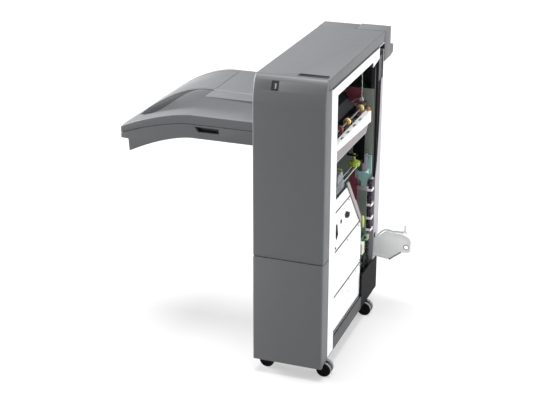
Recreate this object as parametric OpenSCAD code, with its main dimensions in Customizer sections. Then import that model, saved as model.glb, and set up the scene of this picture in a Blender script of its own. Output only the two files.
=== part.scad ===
/* [Cabinet] */
// Width of the cabinet, from the docking side to the tray side
body_w = 235; // [233:0.5:238]
// Height of the cabinet over the floor
body_h = 1008; // [1006:1:1020]
// Depth of the cabinet, from the front to the back cover
body_d = 719; // [717:1:724]
// Wall thickness of the moulded covers
skin = 2.5; // [2:0.1:2.6]
// Height of the seam between the upper and lower front covers
seam_z = 414; // [404:1:424]
// Height of the curved brow at the top of the front door
brow_h = 80; // [76:1:84]

/* [Trays] */
// Length of the lower tray, out from the cabinet
tray_l = 518; // [500:1:530]
// Width of the lower tray
tray_w = 355; // [345:1:360]
// Height of the lower tray's top face at rest
tray_z = 810; // [808:1:811]
// How far the end of the lower tray curves down
tray_drop = 66; // [58:1:70]
// Height of the upper tray's top face
upper_z = 881; // [880:1:882]

/* [Casters] */
// Diameter of the caster wheels
wheel_d = 50; // [46:1:50]
// Overall width of a twin wheel
wheel_w = 38; // [34:1:38]
// Trail of a caster, from its swivel to its axle
trail = 18; // [14:1:18]

/* [Docking bracket] */
// How far the docking bracket reaches out from the cabinet
bracket_l = 135; // [125:1:140]
// Diameter of the hole in its nose
bracket_hole_d = 14; // [10:1:16]

/* [Hidden] */
$fn = 48;

// The design is drawn from the docking side (x = 0), the front (y = 0) and
// the floor, and then moved so that the middle of its base is the origin.
x_mid = (bracket_l - body_w - 1.5 - tray_l) / 2;
back_lip = body_d + 52;
y_mid = back_lip / 2;

left_x = -body_w;
cover_z = 48;
lid_z = body_h - 34;
door_y = 2;
wrap_y = 63.5;
brow_y = door_y + 33;
brow_z = body_h - brow_h;
edge_r = 6;
door_hinge = [left_x + edge_r, door_y + edge_r];
lid_hinge = [left_x + 6, lid_z + 4];
lid_front = brow_y + 1.5;
lid_back = 650.5;
pan_z = 57;
plate_front = 126;
plate_back = 553;
sheet = 2;
frame_top = lid_z - 4;
run_gap = 0.05;

// Shafts along the depth, as [x, z] of their centres
entrance_at = [-30, 761.5];
idler_at = [-30, 784];
upper_exit_at = [left_x + 21, 886];
main_exit_at = [left_x + 17, 806];
gate_at = [-100, 801];
rod_at = [[-24, 596], [-40, 596]];
rod_end = 490;
flag_at = [left_x + 11, 856];
shaft_r = 4;
gate_r = 3;
pulley_r = 8;

steel = "gainsboro";
cover_grey = "dimgray";
lid_grey = "darkgray";

module place() {
    translate([-x_mid, -y_mid, 0]) children();
}

module box(lo, hi) {
    translate(lo) cube(hi - lo);
}

module along_y(y0, y1) {
    translate([0, y1, 0]) rotate([90, 0, 0]) linear_extrude(y1 - y0) children();
}

module along_x(x0, x1) {
    translate([x0, 0, 0]) rotate([90, 0, 90]) linear_extrude(x1 - x0) children();
}

module rod_x(at, x0, x1, r) {
    translate([x0, at[0], at[1]]) rotate([0, 90, 0]) cylinder(h = x1 - x0, r = r);
}

module rod_y(at, y0, y1, r) {
    translate([at[0], y1, at[1]]) rotate([90, 0, 0]) cylinder(h = y1 - y0, r = r);
}

module rod_z(at, z0, z1, r) {
    translate([at[0], at[1], z0]) cylinder(h = z1 - z0, r = r);
}

// A quarter of a tube, in plan, for a rounded corner
module corner(at, quadrant) {
    translate(at) intersection() {
        difference() {
            circle(edge_r);
            circle(edge_r - skin);
        }
        rotate(90 * quadrant) square(edge_r + 1);
    }
}

// A round tube swept along a list of points
function unit(v) = v / norm(v);
function heading(p, i) =
    unit(p[min(i + 1, len(p) - 1)] - p[max(i - 1, 0)]);
function side_of(d) = unit(cross(d, abs(d[2]) > 0.8 ? [1, 0, 0] : [0, 0, 1]));
function ring(p, i, r, n) =
    let (d = heading(p, i), u = side_of(d), v = cross(d, u))
    [for (k = [0:n - 1]) p[i] + r * (cos(360 * k / n) * u + sin(360 * k / n) * v)];

module tube(p, r, n = 8) {
    last = len(p) - 1;
    points = [for (i = [0:last]) each ring(p, i, r, n)];
    sides = [for (i = [0:last - 1], k = [0:n - 1])
        [(i + 1) * n + k, (i + 1) * n + (k + 1) % n, i * n + (k + 1) % n, i * n + k]];
    ends = [[for (k = [0:n - 1]) k], [for (k = [n - 1:-1:0]) last * n + k]];
    polyhedron(points, concat(sides, ends));
}

// --- Chassis ---------------------------------------------------------------

caster_x = [-24, left_x + 51];
caster_y = [60, 529];
stem_r = 5;
socket_r = 8.9;

module base_pan() place() color("slategray") difference() {
    union() {
        box([left_x + 7, 19, pan_z], [-skin, 64, pan_z + 3]);
        box([left_x + 7, 64, pan_z], [0, 450, pan_z + 3]);
        box([left_x + 7, 450, pan_z], [-3, 646, pan_z + 3]);
        box([left_x + 7, 646, pan_z], [-34, 700, pan_z + 3]);
        box([-3, 128, pan_z + 3], [0, 450, 104]);
        box([left_x + skin, 46, pan_z], [left_x + 7, 700, 90]);
        box([left_x + 7, 697, pan_z + 3], [-40, 700, 90]);
    }
    for (x = caster_x, y = caster_y) rod_z([x, y], pan_z - 1, pan_z + 4, socket_r + 0.1);
}

module caster_sockets() place() color(steel) {
    for (x = caster_x, y = caster_y) difference() {
        union() {
            rod_z([x, y], pan_z, 78, socket_r);
            rod_z([x, y], pan_z + 3, pan_z + 5, 13.5);
        }
        rod_z([x, y], pan_z - 1, 76, stem_r + run_gap);
    }
}

module side_plate(y, x_right, bores) {
    difference() {
        box([left_x + 7, y, pan_z + 3], [x_right, y + sheet, frame_top - 2]);
        for (b = bores) rod_y([b[0], b[1]], y - 1, y + sheet + 1, b[2] + run_gap);
    }
}

shaft_bores = [
    [entrance_at[0], entrance_at[1], shaft_r],
    [idler_at[0], idler_at[1], shaft_r],
    [upper_exit_at[0], upper_exit_at[1], shaft_r],
    [main_exit_at[0], main_exit_at[1], shaft_r],
    [gate_at[0], gate_at[1], gate_r]];
rod_bores = [for (r = rod_at) [r[0], r[1], shaft_r]];

module front_side_plate() place() color("whitesmoke")
    side_plate(plate_front, -11, concat(shaft_bores, rod_bores));

module rear_side_plate() place() color("darkseagreen") difference() {
    side_plate(plate_back, -5, shaft_bores);
    box([-125, plate_back - 1, 832], [1, plate_back + 3, 932]);
    box([board[0][0], plate_back - 1, board[0][2]], [1, plate_back + 3, board[1][2]]);
    box([-20, plate_back - 1, board[1][2] - 1], [1, plate_back + 3, 506]);
}

module front_post() place() color("white") {
    box([-sheet, 64.5, pan_z + 3], [0, 124, frame_top - 2]);
    box([-40, 122, pan_z + 3], [-sheet, 124, frame_top - 2]);
    box([-40, 64.5, 82], [-sheet, 66.5, frame_top - 2]);
}

// Outline of the post from the docking side: wide low down, narrow beside the channel
post_face = [[587, 187], [646, 187], [646, 948], [640, 948], [640, 852],
    [622, 846], [618, 700], [604, 560], [587, 500]];

module rear_post() place() color("thistle") difference() {
    union() {
        along_x(-sheet, 0) polygon(post_face);
        box([-40, 644, 187], [-sheet, 646, 948]);
        box([-40, 587, 187], [-sheet, 589, 500]);
        for (y = [587, 644]) box([-40, y, pan_z + 3], [-4, y + 2, 187]);
    }
    box([-3, 595, 196], [1, 615, 286]);
}

module top_frame() place() color("white") {
    difference() {
        box([left_x + 5, 64.5, frame_top - 2], [0, 650, frame_top]);
        box([left_x + 39, 130, frame_top - 3], [-32, 503, frame_top + 1]);
    }
    box([-3, 124, 935], [0, 546, frame_top - 2]);
    box([left_x + 5, 64.5, 935], [left_x + 7, 648, frame_top - 2]);
    along_x(-3, 0) polygon([[546, frame_top - 2], [592, frame_top - 2], [592, 929],
        [518, 917], [518, 935], [546, 935]]);
}

module lower_rear_plate() place() color("black") {
    box([-3, 451, pan_z], [0, 646, 186]);
    box([-20, 451, pan_z + 3], [-3, 514, pan_z + 5]);
}

module knuckle(z0, z1) {
    rod_z(door_hinge, z0, z1, edge_r - 0.3);
    box([left_x + 3.5, door_hinge[1], z0], [left_x + 9, 19, z1]);
}

pin_r = 2.5;
knuckle_h = 12.5;
low_knuckle = seam_z + 3;
high_knuckle = brow_z - 14;

module hinge_post() place() color(steel) {
    difference() {
        box([left_x + 3.5, 19, pan_z + 3], [left_x + 20, 45, high_knuckle + knuckle_h]);
        box([left_x + 5.5, 21, pan_z + 2], [left_x + 21, 43, high_knuckle + 20]);
    }
    knuckle(low_knuckle, low_knuckle + knuckle_h);
    knuckle(high_knuckle, high_knuckle + knuckle_h);
    rod_z(door_hinge, low_knuckle, low_knuckle + knuckle_h + 15, pin_r);
    rod_z(door_hinge, high_knuckle - 15, high_knuckle + knuckle_h, pin_r);
}

lid_ear = [60, 635];
ear_w = 7;

module cover_hinge_brackets() place() color(steel) {
    for (y = [lid_ear[0] + ear_w + 2, lid_ear[1] - 9])
        box([left_x + 5, y, frame_top], [left_x + 16, y + 7, lid_hinge[1] + 4]);
    rod_y(lid_hinge, lid_ear[0] - 2, lid_ear[0] + ear_w + 9, pin_r);
    rod_y(lid_hinge, lid_ear[1] - 9, lid_ear[1] + ear_w + 2, pin_r);
}

// --- Inside, on the docking side -------------------------------------------

panel_x = [-11, -9];
panel_y = [128, 455];
panel_seam = [92, 108, 235, 396];
panel_holes = [[399, 224], [327, 226], [247, 214], [306, 190]];

module inner_panels() place() color("white") difference() {
    for (i = [0:2]) {
        top = panel_seam[i + 1] - 1;
        box([panel_x[0], panel_y[0], panel_seam[i] + 1], [panel_x[1], panel_y[1], top]);
        box([panel_x[0] - 8, panel_y[0], top - 2], [panel_x[0], panel_y[1], top]);
    }
    for (h = panel_holes) rod_x(h, panel_x[0] - 1, panel_x[1] + 1, 2.6);
}

// Windows that show the dark inside through the guide panel
guide_windows = [
    [[254, 490], [270, 497], [318, 474], [314, 460], [288, 464], [260, 477]],
    [[206, 486], [222, 490], [230, 474], [214, 468]],
    [[160, 492], [178, 486], [188, 446], [174, 430], [160, 446]],
    [[148, 414], [166, 412], [172, 402], [150, 403]]];
guide_hole = [250, 512];

module guide_panel() place() color("white") difference() {
    along_x(panel_x[0], panel_x[1]) {
        polygon([[128, 397], [428, 397], [313, 534], [128, 534]]);
        polygon([[128, 536], [311, 536], [276, 577], [128, 577]]);
    }
    rod_x(guide_hole, panel_x[0] - 1, panel_x[1] + 1, 3);
    for (w = guide_windows) along_x(panel_x[0] - 1, panel_x[1] + 1) polygon(w);
}

module guide_rail() place() color("tan") difference() {
    along_x(-9, -4.5) polygon([[262, 596], [282, 596], [360, 503], [372, 496],
        [456, 396], [436, 392], [352, 490]]);
    rod_x([448, 400], -12, 0, 2.55);
}

knob_at = [-30, 420];

module guide_slots() {
    for (y = [189, 252, 324, 389])
        box([-13, y, 760], [-5, y + 26, 780]);
}

module entrance_guide() place() color("white") difference() {
    union() {
        along_x(-sheet, 0) polygon([[128, 752], [507, 732], [507, 771], [128, 771]]);
        box([-19, 128, 769], [-sheet, 507, 771]);
        box([-19, 128, 757], [-17, 507, 769]);
    }
    guide_slots();
}

module guide_support() place() color("rosybrown")
    along_x(-6, -sheet) polygon([[129, 715], [463, 709], [480, 731], [129, 750]]);

// Two pairs of bent sheets that lead the paper to the two exits
module path_sheet(a, b, t = 1.5) {
    n = unit([a[1] - b[1], b[0] - a[0]]);
    polygon([a, b, b + t * n, a + t * n]);
}

module path_guides() place() color("silver") along_y(128, 530) {
    path_sheet([-190, 825], [-50, 766]);
    path_sheet([-196, 838], [-110, 800]);
    path_sheet([-196, 878], [-110, 806]);
    path_sheet([-196, 892], [-88, 801.4]);
}

tray_top = [-204, 808];
tray_foot = [-72, 668];

// Sloping tray where a set is gathered, with the hangers for the knob and the rods
module compile_tray() place() color("silver") difference() {
    union() {
        along_y(128, 547) {
            path_sheet(tray_top, tray_foot, 2);
            path_sheet(tray_foot, tray_foot + [20, 19], 2);
        }
        box([-54, 412, 636], [-51, 428, 688]);
        box([-54, 412, 636], [-20, 428, 640]);
        box([-54, rod_end - 4, 588], [-14, rod_end, 688]);
    }
    rod_z(knob_at, 630, 645, shaft_r + run_gap);
    for (r = rod_at) rod_y(r, rod_end - 6, rod_end + 2, shaft_r + run_gap);
}

rail_y = [190, 470];
rail_x = left_x + 14;
rail_r = 5;

// Upright rods for the tray lift, with their top bar, and level ones for the stapler
module guide_rods() place() color("silver") {
    for (y = rail_y) rod_z([rail_x, y], pan_z + 3, 780, rail_r);
    box([left_x + 7.5, 129, 780], [left_x + 22, 552, 786]);
    for (r = rod_at) rod_y(r, plate_front, rod_end + 2, shaft_r);
}

module rear_wall_plate() place() color("maroon") difference() {
    along_y(551, 553) polygon([[-83, 424], [-54, 424], [-54, 530], [-46, 612], [-46, 832],
        [-123, 832], [-123, 776], [-60, 776], [-60, 612], [-83, 530]]);
    rod_y(gate_at, 540, 560, gate_r + 2);
}

// Plate behind the motor, with the bar that it stands on
module motor_plate() place() color("cadetblue") {
    along_y(545, 547)
        polygon([[-38, 478], [-24, 478], [-20, 497], [-4, 529], [-4, 597], [-18, 597],
            [-64, 584], [-60, 510], [-38, 499]]);
    box([-53, 543, 466], [-14, 550.6, 480]);
    box([-46, 510, 544], [-12, 547, 548]);
}

module drive_motor() place() color("lightslategray") {
    rod_z([-29, 526], 548, 612, 17.5);
    rod_z([-29, 526], 612, 617, 8);
    rod_z([-29, 526], 617, 626, 2.5);
}

board = [[-24, 470, 150], [-22, 583, 300]];

module control_board() place() color("darkgreen") box(board[0], board[1]);

module board_connectors() place() color("ivory") {
    for (z = [160, 188, 216, 244, 272]) box([-22, 560, z], [-14, 578, z + 18]);
    for (z = [170, 206]) box([-22, 512, z], [-12, 540, z + 26]);
    box([-22, 478, 250], [-9, 506, 290]);
}

module cable_channel() place() color("black") {
    difference() {
        box([-16, 555, 510], [-3, 600, 934]);
        box([-14.5, 558, 509], [-1, 598, 935]);
    }
    box([-5, 598, 846], [-3, 640, 934]);
}

// A thick loom low down, and the thin part of it that runs on up the channel
module wire_harness() place() color("indigo") {
    tube([[-15, 570.5, 303], [-15, 571, 325], [-15, 571, 350], [-15.2, 571, 380],
        [-14.8, 570.8, 410], [-15, 571, 440], [-15, 571, 470], [-14, 571, 500]], 9, 12);
    tube([[-11, 571, 490], [-9.5, 571, 520], [-9, 571, 560], [-9, 571, 640],
        [-9, 571, 720], [-9, 571, 800], [-9, 571, 900]], 4, 8);
}

clip_z = [308, 352, 402, 458];

module harness_clips() place() color("white") for (z = clip_z) difference() {
    box([-27, 558.1, z], [-3, 587, z + 9]);
    box([-25.6, 560, z - 1], [-4.5, 582, z + 10]);
}

module sensor_wire() place() color("honeydew") {
    tube([[-44, 538, 928], [-44, 538, 890], [-43, 539, 850], [-44, 540, 820],
        [-44, 540, 803]], 1.8, 8);
    tube([[-49, 540, 797], [-58, 540, 796], [-68, 540, 791], [-80, 540, 782]], 1.8, 8);
    box([-50, 534, 790], [-38, 546, 804]);
    box([-94, 533, 770], [-79, 546, 783]);
}

module drive_belt() place() color("black") difference() {
    belt_loop(pulley_r + 2);
    belt_loop(pulley_r + 0.5);
}

module belt_loop(r) {
    along_y(560, 566) hull()
        for (c = [entrance_at, upper_exit_at, main_exit_at]) translate(c) circle(r);
}

// --- Covers ----------------------------------------------------------------

module left_cover() place() color(cover_grey) difference() {
    union() {
        box([left_x, 15.5, cover_z], [left_x + skin, body_d - 3, lid_z - 3.5]);
        for (y = [311, 332]) box([left_x + skin, y, 848], [left_x + 16, y + 5, 872]);
    }
    rod_y(flag_at, 305, 345, gate_r + run_gap);
    box([left_x - 1, 14, brow_z - 2], [left_x + 4, brow_y + 2, lid_z]);
    box([left_x - 1, 150, 816], [left_x + 4, 495, 862]);
    box([left_x - 1, 150, 884], [left_x + 4, 495, 906]);
    for (y = rail_y) box([left_x - 1, y - 15, 294], [left_x + 4, y + 15, 774]);
}

module rear_cover() place() color(cover_grey) {
    box([left_x, body_d - skin, cover_z], [-32, body_d, lid_z]);
    box([-34.5, 650, pan_z + 3], [-32, body_d - skin, 900]);
}

module rear_top_cover() place() color(lid_grey) {
    box([left_x, lid_back + 1.5, body_h - skin], [-106.5, body_d, body_h]);
    box([left_x, lid_back + 1.5, lid_z], [left_x + skin, body_d, body_h - skin]);
    box([left_x + skin, body_d - skin, lid_z], [-106.5, body_d, body_h - skin]);
}

hood_z = body_h - 106;

module corner_hood() place() color(lid_grey) difference() {
    union() {
        box([-105, lid_back + 3.5, body_h - skin], [0, 732, body_h]);
        box([-105, 732 - skin, hood_z], [0, 732, body_h - skin]);
        box([-skin, lid_back + 3.5, hood_z], [0, 732 - skin, body_h - skin]);
        box([-105, body_d, hood_z], [-105 + skin, 732 - skin, body_h - skin]);
        along_x(-60, 0) polygon([[731, hood_z], [732, hood_z], [back_lip, hood_z + 5],
            [back_lip, hood_z + 35], [731, hood_z + 41]]);
    }
    along_x(-57.5, -skin) polygon([[729, hood_z + 3], [732, hood_z + 3],
        [back_lip - 3, hood_z + 8], [back_lip - 3, hood_z + 32], [729, hood_z + 38]]);
}

// Front cover in plan: a flat front, two round corners and a side return
module front_plan(y, side) {
    translate([left_x + edge_r, y]) square([body_w - 2 * edge_r, skin]);
    corner([-edge_r, y + edge_r], 3);
    translate([-skin, y + edge_r]) square([skin, side - y - edge_r]);
}

module lower_front_cover() place() color(cover_grey) difference() {
    translate([0, 0, cover_z]) linear_extrude(seam_z - cover_z) {
        front_plan(0, wrap_y);
        corner([left_x + edge_r, edge_r], 2);
        translate([left_x, edge_r]) square([skin, 8.5]);
    }
    box([-3, 16, cover_z - 1], [1, wrap_y + 1, cover_z + 5]);
}

// The brow starts with a slight crease, then curves back to the top edge
crease = 20;
brow_reach = 33;
function brow_point(inset, a) = [
    brow_y - (brow_reach - inset) * cos(a) / cos(crease),
    brow_z + (brow_h - inset) * (sin(a) - sin(crease)) / (1 - sin(crease))];
function brow(inset) = [for (i = [0:12]) brow_point(inset, crease + (90 - crease) * i / 12)];
function reverse(l) = [for (i = [len(l) - 1:-1:0]) l[i]];

window_x = -164.5;
window_z = body_h - 27;
window_rise = (window_z - brow_z) / brow_h;
window_angle = asin(sin(crease) + (1 - sin(crease)) * window_rise);
window_y = brow_point(0, window_angle)[0];
window_tilt = atan(brow_reach * tan(window_angle) * (1 - sin(crease)) / (brow_h * cos(crease)));

module window_block(w, t, h) {
    translate([window_x, window_y, window_z]) rotate([-window_tilt, 0, 0])
        cube([w, t, h], center = true);
}

module front_door() place() color(cover_grey) {
    foot = seam_z + 2;
    difference() {
        translate([0, 0, foot]) linear_extrude(brow_z - foot) {
            front_plan(door_y, wrap_y);
            translate(door_hinge) circle(edge_r);
        }
        rod_z(door_hinge, foot - 1, low_knuckle + knuckle_h + 0.5, edge_r + 0.6);
        rod_z(door_hinge, high_knuckle - 0.5, brow_z + 1, edge_r + 0.6);
        rod_z(door_hinge, foot, low_knuckle + knuckle_h + 16, pin_r + run_gap);
        rod_z(door_hinge, high_knuckle - 16, brow_z, pin_r + run_gap);
    }
    box([-skin, brow_y, brow_z], [0, wrap_y, lid_z - 2]);
    difference() {
        along_x(left_x, 0) polygon(concat(brow(0), reverse(brow(skin))));
        window_block(22.5, 20, 31);
    }
    for (x = [left_x, -skin]) along_x(x, x + skin)
        polygon(concat([[brow_y, brow_z]], brow(skin)));
    box([left_x + skin, brow_y - 2, body_h - 12], [-skin, brow_y, body_h - skin]);
}

module status_window() place() color("black") window_block(22.5, 2, 31);

notch = [[-106, 45, body_h - 9], [-8, 73, body_h + 1]];

module top_cover() place() color(lid_grey) {
    difference() {
        union() {
            box([left_x, lid_front, body_h - skin], [0, lid_back, body_h]);
            box([-skin, lid_front, lid_z], [0, lid_back, body_h - skin]);
            box([left_x, lid_front, lid_z + 1], [left_x + skin, lid_back, body_h - skin]);
            box([left_x + skin, lid_front, body_h - 14],
                [-skin, lid_front + skin, body_h - skin]);
            box([left_x + skin, lid_back - skin, body_h - 14],
                [-skin, lid_back, body_h - skin]);
            box(notch[0] - [skin, skin, skin], [notch[1][0] + skin, notch[1][1] + skin,
                body_h - skin]);
        }
        box(notch[0], notch[1]);
        for (y = [lid_ear[0] + ear_w + 1, lid_ear[1] - 10])
            box([left_x - 1, y, lid_z], [left_x + 4, y + 9, lid_z + 12]);
    }
    for (y = lid_ear) difference() {
        box([left_x + skin, y, lid_z + 1], [left_x + 12, y + ear_w, body_h - skin]);
        rod_y(lid_hinge, y - 1, y + ear_w + 1, pin_r + run_gap);
    }
}

// --- Trays -----------------------------------------------------------------

tray_end = left_x - 1.5;
tray_tip = tray_end - tray_l;
tray_y = 145;
flat_x = left_x - 265;

// Height lost by a curved edge that starts at flat_x, with its full drop at reach
function droop(x, reach, drop) =
    x > flat_x ? 0 : drop * pow((flat_x - x) / reach, 1.6);
function curve(z, drop, to, inset = 0) = [for (i = [0:10])
    let (x = flat_x + (to - flat_x) * i / 10)
    [x, z - inset - droop(x, flat_x - tray_tip, drop)]];

seam_drop = tray_drop - 8;
deck_t = 32;
shell_t = 80;
foot_x = tray_tip + 25;

module deck_outline(inset, to) {
    polygon(concat([[tray_end - inset, tray_z - deck_t], [tray_end - inset, tray_z - inset]],
        curve(tray_z, tray_drop, to, inset),
        reverse(curve(tray_z - deck_t, seam_drop, to))));
}

module tray_deck() place() color("darkgray") difference() {
    along_y(tray_y, tray_y + tray_w) deck_outline(0, tray_tip);
    along_y(tray_y + 3, tray_y + tray_w - 3) translate([0, -0.01])
        deck_outline(3, tray_tip + 3);
}

module shell_outline(inset, rise = 0) {
    top = tray_z - deck_t - 0.2 + rise;
    polygon(concat([[tray_end - inset, tray_z - shell_t + inset], [tray_end - inset, top]],
        curve(top, seam_drop, tray_tip + inset),
        [[tray_tip + inset, tray_z - 108 + inset], [foot_x + inset, tray_z - 109 + inset],
        [foot_x + 3 + inset, tray_z - 151 + 2 * inset]],
        [for (i = [0:8]) let (x = foot_x + 5 + (flat_x - foot_x - 5) * i / 8)
        [x, tray_z - shell_t + inset - 71 * pow((flat_x - x) / 226, 1.6)]]));
}

grip = [[left_x - 255, tray_y, tray_z - 58], [left_x - 168, tray_y + 18, tray_z - 37]];

module tray_shell() place() color(cover_grey) difference() {
    union() {
        difference() {
            along_y(tray_y, tray_y + tray_w) shell_outline(0);
            along_y(tray_y + 3, tray_y + tray_w - 3) shell_outline(3, 1);
            for (y = rail_y) box([tray_end - 4, y - 7, tray_z - 77],
                [tray_end + 1, y + 7, tray_z - 43]);
        }
        box(grip[0] - [3, 0, 3], grip[1] + [3, 3, 3]);
    }
    box(grip[0] - [0, 1, 0], grip[1]);
}

module tray_carriage() place() color("silver") difference() {
    union() {
        box([left_x + 5, 160, 640], [left_x + 8, 500, 770]);
        for (y = rail_y) {
            box([tray_end - 180, y - 6, tray_z - 77], [left_x + 8, y + 6, tray_z - 45]);
            box([left_x + 8, y - 9, 644], [left_x + 23, y + 9, 660]);
            box([left_x + 8, y - 9, 750], [left_x + 23, y + 9, 766]);
        }
    }
    for (y = rail_y) rod_z([rail_x, y], 630, 780, rail_r + run_gap);
}

upper_end = left_x - 215;
tongue_tip = left_x - 481;
lip_start = left_x - 265;

// Top line of the tongue, and the depth of its front lip
function tongue_x(i) = upper_end + (tongue_tip - upper_end) * i / 14;
function tongue_z(x) =
    upper_z - 109 * pow(max(0, upper_end - 20 - x) / 242, 1.8);
function lip_t(x) = x > lip_start ? 0 :
    28 * sin(180 * pow((lip_start - x) / (lip_start - tongue_tip), 1.6));

module tongue(t0, deep) {
    xs = [for (i = [0:14]) tongue_x(i)];
    polygon(concat([for (x = xs) [x, tongue_z(x)]],
        [for (x = reverse(xs)) [x, tongue_z(x) - t0 - (deep ? lip_t(x) : 0)]]));
}

// Wide base with a raised middle and a thin front shelf, and a curved tongue
module upper_tray() place() color("lightgray") {
    along_y(145, 215) polygon([[left_x, upper_z - 2], [left_x, upper_z - 13],
        [upper_end, upper_z - 6], [upper_end, upper_z - 3]]);
    along_y(215, 455) polygon([[left_x, upper_z], [left_x, upper_z - 13],
        [upper_end, upper_z - 6], [upper_end, upper_z]]);
    along_y(215, 455) tongue(4, false);
    along_y(215, 219) tongue(4, true);
}

// --- Docking bracket and its cable -----------------------------------------

nose = [bracket_l - 17, 248];

module docking_bracket() place() color("white") {
    difference() {
        along_y(598, 601) polygon([[-38, 200], [-38, 266], [0, 266], [40, 298],
            [104, 298], [bracket_l - 8, 288], [bracket_l, 276], [bracket_l, 236],
            [bracket_l - 8, 228], [100, 226], [57, 192], [0, 200]]);
        rod_y(nose, 590, 610, bracket_hole_d / 2);
    }
    // Folded shelf along the top, which carries the cable
    box([40, 601, 296], [104, 614, 298]);
    box([-38, 601, 200], [-20, 604, 262]);
    box([-38, 589, 212], [-36, 598, 254]);
}

module interface_cable() place() color("lightgray")
    tube([[-29.5, 609, 237], [-24, 609, 237.5], [-17, 609, 242], [-8, 609, 252],
        [2, 609, 265], [13, 609, 279], [24, 609, 292], [35, 609, 300.5],
        [47, 609, 303], [60, 609, 302], [74, 609, 301.6], [86, 609, 301.6],
        [97, 609, 302.4], [104, 609, 302.5]], 3.2, 10);

// The plug at the free end, and the block that the cable leaves in the post
module interface_plug() place() color("white") {
    box([104, 602, 298.5], [118, 616, 309]);
    box([107, 604, 309], [115, 614, 330]);
    box([-39, 604, 226], [-29.5, 616, 246]);
}

// --- Moving pieces ---------------------------------------------------------

module roller(at, r, width, starts, y0, y1) {
    rod_y(at, y0, y1, shaft_r);
    for (y = starts) rod_y(at, y, y + width, r);
}

module pulley(at, y0) {
    rod_y(at, y0, y0 + 6, pulley_r);
    rod_y(at, y0 - 1.5, y0 - 0.5, pulley_r + 3);
    rod_y(at, y0 - 0.5, y0, pulley_r);
}

drive_starts = [150, 222, 294, 366, 438];

module entrance_roller() place() color("dimgray") {
    roller(entrance_at, 10, 30, drive_starts, 124.6, 568);
    pulley(entrance_at, 560);
}

module idler_roller() place() color("wheat") {
    roller(idler_at, 11.5, 14, [239, 321, 471], 124.6, 558);
    for (y = [321, 471]) rod_y(idler_at, y - 4, y, 7);
}

module upper_exit_roller() place() color("dimgray") {
    roller(upper_exit_at, 9, 24, [180, 270, 360, 450], 124.6, 568);
    pulley(upper_exit_at, 560);
}

module main_exit_roller() place() color("dimgray") {
    roller(main_exit_at, 11, 24, [180, 270, 360, 450], 124.6, 568);
    pulley(main_exit_at, 560);
}

module diverter_gate() place() color("white") {
    rod_y(gate_at, 124.6, 558, gate_r);
    along_y(140, 528) polygon([gate_at + [36, -25.5], gate_at + [2, -5],
        gate_at + [-4, -3], gate_at + [-4.5, 2], gate_at + [0, 4.5], gate_at + [5, 2]]);
}

stapler_y = [178, 258];

module stapler() place() color("gray") difference() {
    union() {
        box([-48, stapler_y[0], 586], [-14, stapler_y[1], 612]);
        box([-46, stapler_y[0] + 12, 612], [-16, stapler_y[1] - 8, 646]);
        box([-58, stapler_y[0] + 18, 634], [-46, stapler_y[1] - 14, 650]);
    }
    for (r = rod_at) rod_y(r, stapler_y[0] - 1, stapler_y[1] + 1, shaft_r + run_gap);
    box([-62, stapler_y[0] - 1, 640], [-34, stapler_y[1] + 1, 643]);
}

module jam_knob() place() color("yellowgreen") difference() {
    union() {
        rod_z(knob_at, 602, 616, 20);
        rod_z(knob_at, 616, 644, shaft_r);
        rod_z(knob_at, 616, 621, 9);
    }
    for (a = [0:30:330]) translate([knob_at[0] + 21 * cos(a), knob_at[1] + 21 * sin(a), 600])
        cylinder(h = 18, r = 3);
}

module jam_lever() place() color("yellowgreen") {
    rod_x([448, 400], -9, -1, 2.5);
    along_x(-4.1, -1) polygon([[441, 406], [450, 411], [461, 404], [468, 384], [466, 368],
        [458, 362], [447, 380]]);
}

module stack_flag() place() color("black") {
    rod_y(flag_at, 311, 337, gate_r);
    rod_y(flag_at, 317, 331, gate_r + 2);
    along_y(320, 328) polygon([flag_at + [2, 4], flag_at + [-12, -5], flag_at + [-21, -20],
        flag_at + [-26, -38], flag_at + [-31, -36], flag_at + [-26, -18],
        flag_at + [-15, 1]]);
}

axle_r = 4;
half = wheel_w / 2;
web = 5;

// Position and trail direction of each caster
function caster(i) = [caster_x[i % 2], caster_y[i > 1 ? 1 : 0], i % 2 == 0 ? 1 : -1];

module caster_fork(i) {
    c = caster(i);
    axle = [c[0] + c[2] * trail, wheel_d / 2];
    difference() {
        union() {
            rod_y(axle, c[1] - web, c[1] + web, 14);
            along_y(c[1] - web, c[1] + web) polygon([[c[0] - c[2] * 11, 54],
                [c[0] + c[2] * 9, 54], [axle[0] + c[2] * 4, 48], [axle[0] + c[2] * 13, 38],
                [axle[0] + c[2] * 13, 28], [axle[0], 20], [c[0] - c[2] * 5, 34],
                [c[0] - c[2] * 11, 46]]);
        }
        rod_y(axle, c[1] - 20, c[1] + 20, axle_r + run_gap);
    }
    rod_z([c[0], c[1]], 50, 74, stem_r);
    rod_z([c[0], c[1]], 50, 55.5, 11);
}

module caster_wheel(i) {
    c = caster(i);
    axle = [c[0] + c[2] * trail, wheel_d / 2];
    rod_y(axle, c[1] - half, c[1] + half, axle_r);
    for (y = [c[1] - half, c[1] + web + 1]) rod_y(axle, y, y + half - web - 1, wheel_d / 2);
}

module caster_fork_front_right() place() color("black") caster_fork(0);
module caster_fork_front_left() place() color("black") caster_fork(1);
module caster_fork_rear_right() place() color("black") caster_fork(2);
module caster_fork_rear_left() place() color("black") caster_fork(3);
module caster_wheel_front_right() place() color("dimgray") caster_wheel(0);
module caster_wheel_front_left() place() color("dimgray") caster_wheel(1);
module caster_wheel_rear_right() place() color("dimgray") caster_wheel(2);
module caster_wheel_rear_left() place() color("dimgray") caster_wheel(3);

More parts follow.
